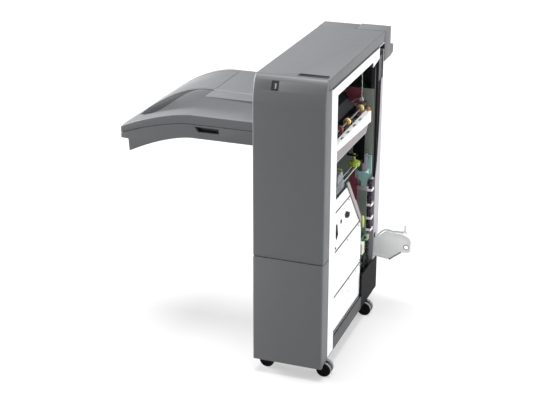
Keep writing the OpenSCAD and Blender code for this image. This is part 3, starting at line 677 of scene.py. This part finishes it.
# the back of the grip hole in black plastic: painted shade inside the recess
piece("grip_pocket_shade", prism([(-488.5, 771.8), (-404, 771.8), (-404, 753.8), (-476.5, 753.8)], "y",
    159.5, 162.8), "black", "tray", 0.4)

UP, UP_END, TONGUE = 881, -450, -716
tongue_run = spread(-430, TONGUE, 30)


def tongue_z(x):
    return UP - 109 * (max(0, UP_END - 20 - x) / 242) ** 1.8


def lip_depth(x):
    k = max(0, (x + 500) / (TONGUE + 500))
    return 28 * math.sin(math.pi * k ** 1.6) if x < -500 else 0


tongue_line = [(-W, UP)] + [(x, tongue_z(x)) for x in tongue_run]
sheet_low = [(x, tongue_z(x) - 3.6) for x in tongue_run]
tongue = prism(tongue_line + sheet_low[::-1] + [(-W, UP - 13)], "y", 215, 455, 2.2, 3,
               lambda u, v, t: TONGUE < u < -W - 1 and v > tongue_z(u) - 2)
lip_top = [(x, tongue_z(x) - 1) for x in tongue_run]
lip_low = [(x, tongue_z(x) - 4 - lip_depth(x)) for x in tongue_run]
crescent = prism(lip_top + lip_low[::-1], "y", 215, 218.5)
shelf = prism([(-W, UP - 2), (UP_END + 6, UP - 3), (UP_END, UP - 4.4), (UP_END, UP - 5.8),
               (-W, UP - 13)], "y", 145, 217, 1.4, 3, lambda u, v, t: t < 150 and u < -W - 1)
step = prism([(213, UP - 6), (209.5, UP - 2.6), (215, UP - 0.2), (219, UP - 0.2), (219, UP - 8)],
             "x", -446, -W - 0.5)
RIB_X, RIB_Y = -448, 428
ribs = [prism([(RIB_X - 3, UP - 1), (RIB_X - 2, UP + 1.1), (RIB_X + 2, UP + 1.1),
    (RIB_X + 3, UP - 1)], "y", 222, RIB_Y + 3)]
for y in (222, RIB_Y):
    line = [(x, y, tongue_z(x) - 0.6) for x in spread(RIB_X, -640, 24)]
    ribs.append(sweep(line, 1.7, 10))
# the upper tray in the lighter copy of the tray plastic: painted light
upper_sheet = piece("upper_tray_sheet", [tongue, shelf, step, *ribs], "sheet", bevel=0.5,
    replaces="upper_tray")
# the lip in the lightest copy of the plastic: painted light on its shaded front face
upper_lip = piece("upper_tray_lip", crescent, "sheet_lip", bevel=0.5)
unshadowed = bpy.data.collections.new("unshadowed")
for obj in (upper_sheet, upper_lip):
    unshadowed.objects.link(obj)
top_light.light_linking.blocker_collection = unshadowed
for entry in unshadowed.collection_objects:
    entry.light_linking.link_state = "EXCLUDE"

# ---------------------------------------------------------------- casters
WHEEL_R, TRAIL = 25, 18
CASTERS = {"front_right": (-24, 60, 1), "front_left": (-184, 60, -1),
           "rear_right": (-24, 529, 1), "rear_left": (-184, 529, -1)}
# depth from the wheel's outer face, and radius
TYRE = [(3, 4.5), (3, 20), (1.3, 20.4), (1.3, 24.2), (2.6, 25), (10.6, 25), (12.2, 24.2),
        (13, 22.6), (13, 4.5), (3, 4.5)]
DISC = [(2.9, 4.4), (2.9, 20), (1.2, 20.4), (1.2, 24.1), (0.4, 23.9), (0, 22.9), (0, 17.8),
        (1.4, 16.6), (1.4, 9), (0.2, 7.2), (0.2, 2.2), (1, 1.4), (1, 0)]
for where, (cx, cy, way) in CASTERS.items():
    ax = cx + way * TRAIL
    wheel, fork = f"caster_wheel_{where}", f"caster_fork_{where}"
    hub_centre = (ax, WHEEL_R)
    tyres, discs = [], []
    for face, d in ((cy - 19, 1), (cy + 19, -1)):
        tyres.append(lathe("y", hub_centre, [(face + d * t, r) for t, r in TYRE], 64))
        discs.append(lathe("y", hub_centre, [(face + d * t, r) for t, r in DISC], 64))
        for degrees in range(15, 375, 60):
            u, v = math.cos(math.radians(degrees)), math.sin(math.radians(degrees))
            spoke = [(ax + u * along - v * across, WHEEL_R + v * along + u * across)
                     for along, across in ((8.6, 1.1), (8.6, -1.1), (16.8, -1.1), (16.8, 1.1))]
            discs.append(prism(spoke, "y", face + d * 0.4, face + d * 1.8))
    piece(f"{wheel}_tread", tyres, "tread", wheel, 0.3, replaces=wheel)
    axle = rod("y", hub_centre, cy - 17, cy + 17, 4)
    piece(f"{wheel}_disc", [*discs, axle], "caster", wheel, 0.25)
    hood_line = [(cx - way * 11, 54),
        (cx + way * 8.5, 54)] + [(ax + way * 14 * math.cos(math.radians(a)),
        WHEEL_R + 3 + 22 * math.sin(math.radians(a))) for a in (76, 60, 45, 30, 15, 0,
        -12)] + [(ax + way * 7, 13), (ax, 11.2), (ax - way * 7, 14), (cx - way * 4.5, 33),
        (cx - way * 11, 45)]
    web = prism(hood_line, "y", cy - 5, cy + 5)
    cut(web, [rod("y", hub_centre, cy - 9, cy + 9, 4.06)])
    stem = lathe("z", (cx, cy), [(48, 9), (50, 11), (55.4, 11), (55.5, 8), (56, 5), (72.5, 5),
        (73.9, 4)], 32)
    piece(f"{fork}_body", [web, stem], "caster", fork, 1.0, 3, replaces=fork)

# ---------------------------------------------------------------- chassis, CAD nodes kept
for node, mat, bevel in (
        ("base_pan", "pan", 0.6), ("caster_sockets", "zinc", 0.4),
        ("front_side_plate", "white", 0.5), ("rear_side_plate", "grey_green", 0.5),
        ("lower_rear_plate", "black_sheet", 0.8), ("hinge_post", "zinc", 0.5),
        ("cover_hinge_brackets", "zinc", 0.5), ("inner_panels", "white", 0.6),
        ("guide_panel", "white", 0.6), ("entrance_guide", "white", 0.5),
        ("guide_support", "pink_grey", 0.5), ("path_guides", "black_sheet", 0.3),
        ("compile_tray", "black_sheet", 0.4), ("guide_rods", "shaft", 0.4),
        ("tray_carriage", "zinc", 0.6), ("guide_rail", "beige", 0.8),
        ("rear_wall_plate", "maroon", 0.4), ("cable_channel", "black", 0.4),
        ("diverter_gate", "gate", 0.6), ("stack_flag", "black", 0.6), ("top_frame", "white", 0.4),
        ("front_post", "white", 0.5), ("rear_post", "post", 0.5)):
    dress(node, mat, bevel)

# ---------------------------------------------------------------- rollers and belt
PULLEY_R = 8


def shaft(at, y0, y1, r=4):
    """A steel shaft with the groove of a retaining ring near its front end."""
    line = [(y0, r - 0.5), (y0 + 0.5, r), (y0 + 1.2, r), (y0 + 1.2, r - 0.7), (y0 + 1.9, r - 0.7),
            (y0 + 1.9, r), (y1 - 0.6, r), (y1, r - 0.6)]
    return lathe("y", at, line, 28)


def grooved(at, y0, width, r):
    """A rubber tyre with fine grooves cut round it."""
    line = [(y0, 4.6), (y0, r - 0.8), (y0 + 0.8, r)]
    y = y0 + 2.4
    while y < y0 + width - 2.6:
        line += [(y, r), (y + 0.3, r - 0.7), (y + 1.0, r - 0.7), (y + 1.3, r)]
        y += 3.2
    line += [(y0 + width - 0.8, r), (y0 + width, r - 0.8), (y0 + width, 4.6)]
    return lathe("y", at, line, 40)


def hub(at, y0, y1, r=6.2):
    return lathe("y", at, [(y0, 3.9), (y0, r - 0.6), (y0 + 0.6, r), (y1 - 0.6, r), (y1, r - 0.6),
        (y1, 3.9)], 24)


def toothed(at, y0, r, flange):
    """A belt pulley with one flange."""
    teeth = 24
    outline = [circle(at, radius, k + part, teeth) for k in range(teeth)
               for part, radius in ((0, r), (0.42, r), (0.5, r - 0.9), (0.92, r - 0.9))]
    body = prism(outline, "y", y0, y0 + 6)
    return [body, lathe("y", at, [(y0 - 1.5, 4), (y0 - 1.5, flange - 0.4), (y0 - 1.1, flange),
        (y0 - 0.5, flange - 0.6), (y0 - 0.5, 4)], 36)]


# axis, radius, tyre width and where each tyre starts
DRIVEN = {"entrance_roller": ((-30, 761.5), 10, 30, (150, 222, 294, 366, 438)),
          "upper_exit_roller": ((-214, 886), 9, 24, (180, 270, 360, 450)),
          "main_exit_roller": ((-218, 806), 11, 24, (180, 270, 360, 450))}
for name, (at, r, width, starts) in DRIVEN.items():
    piece(f"{name}_tyres", [grooved(at, y, width, r) for y in starts], "rubber", name,
          replaces=name)
    piece(f"{name}_shaft", shaft(at, 124.6, 568), "shaft", name)
    piece(f"{name}_hubs", [hub(at, y - 2.4, y) for y in starts]
          + [hub(at, y + width, y + width + 2.4) for y in starts], "black", name)
    piece(f"{name}_pulley", toothed(at, 560, PULLEY_R - 0.1, PULLEY_R + 3), "cream", name, 0.15, 1)

IDLER = (-30, 784)
RINGS = (239, 321, 471)
idler_bits = []
for y in RINGS:
    ring = lathe("y", IDLER, [(y, 7.4), (y, 10.7), (y + 0.8, 11.5), (y + 13.2, 11.5),
        (y + 14, 10.7), (y + 14, 7.4), (y + 9, 7.0), (y + 9, 4.2), (y + 5, 4.2), (y + 5, 7.0)], 40)
    idler_bits.append(ring)
piece("idler_rings", idler_bits[1:], "cream", "idler_roller", replaces="idler_roller")
piece("idler_front_ring", idler_bits[0], "red_brown", "idler_roller")
piece("idler_caps", [hub(IDLER, y - 4, y - 0.2, 6.9) for y in RINGS[1:]]
      + [hub(IDLER, y + 14.2, y + 17, 6.9) for y in RINGS], "amber", "idler_roller")
piece("idler_shaft", shaft(IDLER, 124.6, 558), "shaft", "idler_roller")


def round_loop(centres, r, n=96):
    """The outline of a belt stretched round equal pulleys."""
    loop = []
    for k in range(n):
        u, v = circle((0, 0), 1, k, n)
        farthest = max(centres, key=lambda c: c[0] * u + c[1] * v)
        loop.append(circle(farthest, r, k, n))
    return loop


centres = [at for at, *_ in DRIVEN.values()]
outer, inner = round_loop(centres, PULLEY_R + 2), round_loop(centres, PULLEY_R + 0.5)
belt = cut(prism(outer, "y", 560.4, 565.8), [prism(inner, "y", 555, 570)])
COG_PITCH = 3.2
cogs = []
for (x0, z0), (x1, z1) in zip(inner, inner[1:] + inner[:1]):
    length = math.hypot(x1 - x0, z1 - z0)
    if length < 20:
        continue
    ux, uz = (x1 - x0) / length, (z1 - z0) / length
    for k in range(int(length / COG_PITCH)):
        a, b = 1 + k * COG_PITCH, 2.4 + k * COG_PITCH
        cog = [(x0 + ux * along - uz * depth, z0 + uz * along + ux * depth)
               for along, depth in ((a, -0.2), (b, -0.2), (b - 0.3, 0.6), (a + 0.3, 0.6))]
        cogs.append(prism(cog, "y", 560.6, 565.6))
piece("timing_belt", [belt, *cogs], "belt", replaces="drive_belt")

# ---------------------------------------------------------------- motor, board and wiring
MX, MY = -29, 526
can = lathe("z", (MX, MY), [(548, 12), (548, 16), (549.5, 17.3), (551.5, 17.3), (552.2, 16.4),
    (556, 16.4), (556.6, 17.3), (603, 17.3), (603.6, 16.4), (606.5, 16.4), (607, 17.4), (611, 17.4),
    (612, 16.5), (612, 8), (617, 8), (617, 7), (617, 2.5), (625.5, 2.5), (626, 2)], 48)
piece("motor_can", can, "motor", replaces="drive_motor")
piece("motor_screws", [screw("z", (MX + 12 * math.cos(a), MY + 12 * math.sin(a)), 611.4, 1, 2)
    for a in (0.7, 2.8, 4.9)], "zinc")
pinion = [circle((MX, MY), 4.6 if k % 2 else 3.7, k, 24) for k in range(24)]
piece("motor_pinion", prism(pinion, "z", 618.5, 625), "cream", bevel=0.1)
piece("motor_plug", [box((-46.4, 521, 558), (-42, 531, 568)),
    box((-48.5, 522.5, 560), (-46, 529.5, 566))], "connector", bevel=0.5)

MOUNTED = -22.2   # the board's face
board = box((-23.8, 470.3, 150.3), (MOUNTED, 582.7, 299.7))
mount_holes = [rod("x", c, -30, -18, 1.9) for c in ((476, 156), (577, 156), (476, 294), (577, 294))]
piece("circuit_board", cut(board, mount_holes), "board", bevel=0.15, replaces="control_board")
headers, pins, chips, cans, coils = [], [], [], [], []
for z in (160, 188, 216, 244, 272):
    header = box((MOUNTED, 560, z), (-14, 577.9, z + 17.8))
    headers.append(cut(header, [box((-20.5, 562, z + 1.8), (-12, 576, z + 16))]))
    pins += [box((-21, 565 + 4.4 * i, z + 3 + 3 * j), (-15, 566 + 4.4 * i, z + 4 + 3 * j))
             for i in range(3) for j in range(4)]
for z in (170, 206):
    header = box((MOUNTED, 512, z), (-12.2, 539.8, z + 25.8))
    headers.append(cut(header, [box((-20.5, 514.4, z + 2.4), (-10, 537.4, z + 23.4))]))
    pins += [box((-21, 518 + 5 * i, z + 5 + 4 * j), (-14, 519 + 5 * i, z + 6 + 4 * j))
             for i in range(4) for j in range(4)]
power = box((MOUNTED, 478, 250), (-9.2, 505.8, 289.8))
cut(power, [box((-20, 480.4, 252.4 + 9.4 * i), (-7, 503.4, 259.8 + 9.4 * i)) for i in range(4)])
piece("board_headers", [*headers[:4], *headers[5:]], "black", bevel=0.3,
      replaces="board_connectors")
piece("board_white_headers", [headers[4], power], "connector", bevel=0.3)
for y, z, w, h in ((484, 168, 16, 22), (486, 206, 20, 20), (544, 228, 11, 26), (516, 244, 26, 9),
                   (520, 276, 18, 12), (545, 168, 9, 18), (545, 198, 10, 12)):
    chips.append(box((MOUNTED, y, z), (-20.2, y + w, z + h)))
    for i in range(int(h / 2.2)):
        for yy in (y - 1.3, y + w):
            pins.append(box((-22.1, yy, z + 1 + 2.2 * i), (-21, yy + 1.3, z + 1.8 + 2.2 * i)))
for y, z, r in ((512, 262, 4), (526, 264, 4), (540, 262, 5), (484, 238, 4.4), (496, 240, 3.4),
                (482, 198, 3), (508, 192, 3.2), (545, 288, 4)):
    cans.append(lathe("x", (y, z), [(MOUNTED, r), (-14.2, r), (-13.4, r - 0.7), (-13.4, r - 1.2),
        (-13.6, 0)], 24))
random.seed(7)
for _ in range(64):
    y, z = random.uniform(474, 556), random.uniform(154, 296)
    coils.append(box((MOUNTED, y, z), (-21.3, y + 2.0, z + 1.1)))
piece("board_pins", pins, "zinc")
piece("board_chips", chips, "chip", bevel=0.25)
piece("board_cans", cans, "black")
piece("board_small_parts", coils, "amber")

loom_line = smooth_path([(-15, 570.5, 303), (-15, 571, 325), (-15, 571, 350), (-15.2, 571, 380),
    (-14.8, 570.8, 410), (-15, 571, 440), (-15, 571, 470), (-14, 571, 499)], 8)
for i in range(len(WIRE_COLOURS)):
    strands = []
    for k, rad in enumerate((6.9,) if i in (3, 7) else (6.9, 4.4, 2.0)):
        turn = 2 * math.pi * (i * 3 + k) / 24
        path = []
        for j, (x, y, z) in enumerate(loom_line):
            a = turn + j * 0.035 + 0.25 * math.sin(j * 0.16 + i)
            path.append((x + rad * math.cos(a), y + rad * math.sin(a), z))
        strands.append(sweep(path, 1.75, 8))
    piece(f"loom_wires_{i}", strands, f"wire_{i}",
          replaces=None if i else "wire_harness")
upper_loom = smooth_path([(-11, 571, 497), (-9.5, 571, 520)] + [(-9, 571, z)
    for z in (560, 640, 720, 800, 899)], 4)
piece("loom_sleeve", sweep(upper_loom, 3.9, 14), "black")
piece("loom_tape", [lathe("z", (-15, 571), [(z, 8.0), (z + 0.5, 8.8), (z + 6.5, 8.8), (z + 7, 8.0)],
    28) for z in (336, 380, 430, 484)], "chip")
bows = []
for z in (308, 352, 402, 458):
    outer_bow = prism([(-27, 560), (-25.4, 558.4), (-5, 558.4), (-3.2, 560), (-3.2, 587),
        (-27, 587)], "z", z, z + 9)
    bows.append(cut(outer_bow, [prism([(-25.4, 561.5), (-24, 560.2), (-6, 560.2), (-4.6, 561.5),
        (-4.6, 581), (-6, 582.2), (-24, 582.2), (-25.4, 581)], "z", z - 2, z + 11)]))
    bows.append(box((-18, 556.6, z + 2.5), (-12, 558.8, z + 6.5)))
piece("loom_clips", bows, "clip", bevel=0.6, replaces="harness_clips")

wire_a = smooth_path([(-44, 538, 927), (-44.4, 538, 890), (-43, 539, 850), (-44, 540, 820),
    (-44, 540, 803)], 8)
wire_b = smooth_path([(-49, 540, 797), (-58, 540, 796), (-68, 540, 791), (-80, 540, 780)], 8)
pairs = []
for line in (wire_a, wire_b):
    for s in (-0.85, 0.85):
        pairs.append(sweep([(x + s * math.cos(j * 0.7), y + s * math.sin(j * 0.7), z)
            for j, (x, y, z) in enumerate(line)], 0.85, 8))
piece("sensor_wires", pairs, "wire_pale", replaces="sensor_wire")
piece("sensor_plugs", [box((-50, 534.4, 790), (-38, 545.6, 800)),
    box((-47.5, 536, 800), (-40.5, 544, 804)), box((-94, 533.4, 770), (-82, 545.6, 782.6)),
    box((-82, 535.5, 774), (-79, 543.5, 781))], "clip", bevel=0.7)

# ---------------------------------------------------------------- stapler and jam controls
head = prism([(178, 586), (178, 604), (184, 612), (256, 612), (258, 608), (258, 586)], "x", -47.8,
             -14.2)
arm = prism([(191, 612), (190, 626), (196, 645), (238, 645.6), (249, 636), (250, 612)], "x", -45.8,
            -16.2)
anvil = prism([(196, 634), (196, 648), (200, 650), (240, 650), (244, 646), (244, 634)], "x", -57.8,
              -45)
cut(head, [rod("y", c, 170, 266, 4.06) for c in ((-24, 596), (-40, 596))])
for jaw in (arm, anvil):
    cut(jaw, [box((-62, 170, 640), (-34, 266, 643))])
fins = [box((-14.6, y, 590), (-13.4, y + 3, 608)) for y in (186, 194, 202, 210, 218, 226)]
piece("stapler_head", [head, arm, anvil, *fins], "stapler", "stapler", 0.9, replaces="stapler")
piece("stapler_cartridge", [box((-42, 176.8, 614), (-20, 192, 636)),
    box((-40, 240, 646), (-20, 250, 649))], "lime", "stapler", 1.0)
piece("stapler_screws", [screw("x", c, -16.4, 1, 2.4) for c in ((200, 620), (240, 620),
    (220, 638))], "zinc", "stapler")

KX, KY = -30, 420
# twelve flutes round the rim
knurl = [circle((KX, KY), 19.9 if k % 8 < 5 else 18.4, k, 96) for k in range(96)]
grip_ring = prism(knurl, "z", 602, 616)
cut(grip_ring, [lathe("z", (KX, KY), [(598, 14.5), (606, 13), (606, 0)], 40)])
spokes = [box((KX - dx, KY - dy, 603), (KX + dx, KY + dy, 607))
    for dx, dy in ((13.5, 1), (1, 13.5))]
stalk = lathe("z", (KX, KY), [(602.6, 3.5), (602, 5), (606, 5.4), (616, 9), (620.4, 9), (621, 8.4),
    (621, 4), (643.4, 4), (644, 3.4)], 32)
piece("jam_knob_body", [grip_ring, *spokes, stalk], "lime", "jam_knob", 0.5,
      replaces="jam_knob")

paddle = prism([(441, 406), (445, 410.4), (451, 411), (459, 407), (462, 403), (467.6, 385),
    (466.5, 370), (463, 364), (458.5, 362.6), (455, 366), (447.5, 380), (442, 399)], "x", -4.1, -1)
raised = prism([(447, 399), (457, 399), (462, 384), (458, 372), (451, 383)], "x", -4.0, -0.6)
pin = rod("x", (448, 400), -9, -1.2, 2.45)
piece("jam_lever_paddle", [paddle, raised, pin], "lime", "jam_lever", 0.5, replaces="jam_lever")

# ---------------------------------------------------------------- motor mounting
MOUNT_SCREWS = ((-12, 588), (-56, 576), (-12, 534), (-52, 516))
plate = prism([(-38, 478), (-24, 478), (-20, 497), (-4, 529), (-4, 597), (-18, 597), (-64, 584),
               (-60, 510), (-38, 499)], "y", 545, 547, 3, 3, lambda u, v, t: v > 500)
cut(plate, [rod("y", c, 540, 550, 2.2) for c in MOUNT_SCREWS])
rib = prism([(-56, 520), (-50, 520), (-54, 572), (-60, 572)], "y", 543.6, 546)
shelf = box((-46, 510, 544), (-12, 546, 548))
gussets = [prism([(544, 545), (544, 528), (518, 545)], "x", x, x + 2) for x in (-46, -14)]
piece("motor_mount", [plate, rib, shelf, *gussets], "teal", bevel=0.5, replaces="motor_plate")
bar = prism([(543, 466.5), (543, 479), (544.4, 480), (550.6, 480), (550.6, 466)], "x", -53, -14)
cut(bar, [rod("z", (x, 548), 460, 490, 1.8) for x in (-48, -35, -20)])
piece("motor_bar", bar, "pink_bar", bevel=0.7)
piece("motor_mount_screws", [screw("y", c, 545, -1, 3) for c in MOUNT_SCREWS], "zinc")

# ---------------------------------------------------------------- inner sheet-metal details
FACE = -9
# near-black strips along the panel seams: painted shadow lines for the gaps between the panels
for z in (108, 235, 396):
    strip = prism([(129, z - 2.6), (449, z - 2.6), (453, z), (449, z + 2.6), (129, z + 2.6)], "x",
                  FACE - 0.4, FACE + 0.9)
    piece(f"panel_shadow_strip_{z}", strip, "shadow_strip", bevel=0.4)
# and one along the guide panel's seam: painted shadow line
piece("guide_shadow_strip", prism([(129, 532.6), (311, 532.6), (308, 537.4), (129, 537.4)], "x",
    FACE - 0.4, FACE + 0.9), "shadow_strip", bevel=0.4)
fasteners = [(140, 100), (440, 100), (140, 118), (440, 118), (140, 226), (446, 226), (140, 245),
             (446, 245), (140, 386), (420, 386), (290, 386), (140, 526), (300, 526), (140, 566)]
piece("panel_screws", [screw("x", c, FACE, 1, 3.4) for c in fasteners], "zinc")
piece("panel_bushes", [lathe("x", c, [(FACE - 2.4, 1.4), (FACE + 1.4, 1.4), (FACE + 1.4, 3.6),
    (FACE, 4.8), (FACE - 0.2, 2.5), (FACE - 2.4, 2.5)], 24) for c in ((399, 224), (327, 226),
    (247, 214), (306, 190))], "teal")
# a near-black sheet behind the inner panels: painted shade for the dark interior
piece("inner_shade_sheet", box((-20, 130, 402), (-17, 300, 530)), "shade_black", bevel=0.4)

# a dark strip under the lid's side edge: painted shadow for the gap between the lid and the frame
# below
piece("lid_gap_shadow", box((-1.2, 66, 966.2), (0.5, 588, 973.4)), "gap_shade", bevel=0.5)
edge_line = smooth_path([(-4, 130, 713.4), (-4, 300, 711), (-4, 462, 707.6)])
piece("support_edge_rod", sweep(edge_line, 1.3, 12), "clip")
piece("sensor_arm", [sweep(smooth_path([(-41, 500, 660), (-37, 500, 652), (-31, 500, 638),
    (-24, 500, 624)], 6), 1.4, 12), lathe("y", (-41, 660), [(496, 0), (496, 3.4), (504, 3.4),
    (504, 0)], 24)], "clip")
piece("guide_end_roller", [lathe("y", (-9, 778), [(497, 2.4), (497, 5.2), (498, 6), (504, 6),
    (505, 5.2), (505, 2.4)], 32), rod("y", (-9, 778), 494, 507, 2.4)], "amber")
piece("loom_ring", lathe("z", (-12, 571), [(503, 6.6), (503, 9.4), (507, 9.4), (507, 6.6),
    (503, 6.6)], 32), "pink_bar", bevel=0.4)

# ---------------------------------------------------------------- docking bracket and its lead
outline = [(-38, 200), (-38, 266), (0, 266), (40, 298), (104, 298), (127, 288), (135, 276),
           (135, 236), (127, 228), (100, 226), (57, 192), (0, 200)]
arm = prism(outline, "y", 598.2, 600.8, 5, 4, lambda u, v, t: u > 20)
cut(arm, [rod("y", (118, 248), 590, 610, 7)])
pressed = prism([(-30, 207), (-2, 207), (52, 200), (54, 203), (-1, 211), (-30, 211)], "y", 597.4,
                598.6, 1, 2)
top_shelf = box((40, 601, 296), (104, 614, 298))
fold = prism([(598.4, 290), (598.4, 296), (600, 298), (603, 298), (603, 296.4), (601, 296),
    (601, 290)], "x", 41, 103)
foot = box((-38, 600.6, 200), (-20, 604, 262))
ear = box((-38, 589, 212), (-36, 599, 254))
stiff = [prism([(601, 284), (601, 296.4), (612, 296.4)], "x", x, x + 2) for x in (50, 92)]
piece("bracket_arm", [arm, pressed, top_shelf, fold, foot, ear, *stiff], "bracket", bevel=0.6,
      segments=3, replaces="docking_bracket")
piece("bracket_eye", lathe("y", (118, 248), [(597.4, 7.1), (597.4, 9.6), (598.2, 11), (601.2, 11),
    (602, 9.6), (602, 7.1), (597.4, 7.1)], 48), "zinc", bevel=0.2)
# a near-black strip on the bracket's diagonal edge: painted shade on the flange that faces away
# from the light
edge_shade = prism([(58, 190.4), (101, 224.4), (99.4, 228), (56.6, 194.4)], "y", 597.2, 602, 0.8, 2)
piece("bracket_edge_shade", edge_shade, "shadow_strip", bevel=0.4)
piece("bracket_screws", [screw("y", c, 598.2, -1, 3) for c in ((-29, 212), (-29, 252))], "zinc")

lead_line = smooth_path([(-29.5, 609, 237), (-24, 609, 237.5), (-17, 609, 242), (-8, 609, 252),
    (2, 609, 265), (13, 609, 279), (24, 609, 292), (35, 609, 300.5), (47, 609, 303), (60, 609, 302),
    (74, 609, 301.6), (86, 609, 301.6), (97, 609, 302.4), (104, 609, 302.5)])
piece("lead_sheath", sweep(lead_line, 3.15, 20), "sheath", replaces="interface_cable")


def boot(line, r0, r1):
    """A ribbed strain relief along a line."""
    parts = []
    for k, (a, b) in enumerate(zip(line, line[1:])):
        r = r0 + (r1 - r0) * k / len(line)
        parts.append(sweep([a, b], r if k % 2 else r - 0.5, 18))
    return parts


piece("lead_boots", boot(lead_line[:9], 4.6, 3.4) + boot(lead_line[:-9:-1], 4.4, 3.4), "sheath")
saddle = prism([(603, 298.1), (603, 303), (605, 305.6), (609, 306.4), (613, 305.6), (613.8, 303),
    (613.8, 298.1), (612.4, 298.1), (612.4, 302), (611, 304.6), (609, 305.2), (607, 304.6),
    (605.4, 302), (605.4, 298.1)], "x", 64, 71)
piece("lead_saddle", saddle, "clip", bevel=0.4)
housing = prism([(104, 298.5), (104, 306.5), (106, 309), (107, 309), (107, 330), (115, 330),
                 (115, 309), (117, 309), (118, 308), (118, 298.5)], "y", 602.4, 615.6, 1, 2)
grooves = [box((x, 600, z), (x + 1.1, 618, z + 1.4)) for x in (106.4, 114.5)
           for z in (312, 316, 320, 324)]
cut(housing, grooves + [box((109.4, 605, 326), (112.6, 613, 332))])
socket = prism([(604, 226.3), (616, 226.3), (616, 245.7), (604, 245.7)], "x", -39, -29.6, 1.2, 2)
piece("lead_plug", [housing, socket], "clip", bevel=0.5, replaces="interface_plug")
piece("plug_contacts", [box((110, 606 + 1.7 * i, 326.6), (112, 606.8 + 1.7 * i, 329.6))
    for i in range(4)], "amber")

# ---------------------------------------------------------------- floor
bm = bmesh.new()
FAR = 30   # metres
bm.faces.new([bm.verts.new((x * FAR, y * FAR, 0)) for x, y in ((-1, -1), (1, -1), (1, 1), (-1, 1))])
floor = raw(bm)
floor.name = floor.data.name = "floor"
floor_finish = Finish("studio_floor", (137, 137, 137), 0.8, Emission_Strength=0.5)
floor_finish.set("Emission Color", (1, 1, 1, 1))
floor.data.materials.append(floor_finish.mat)
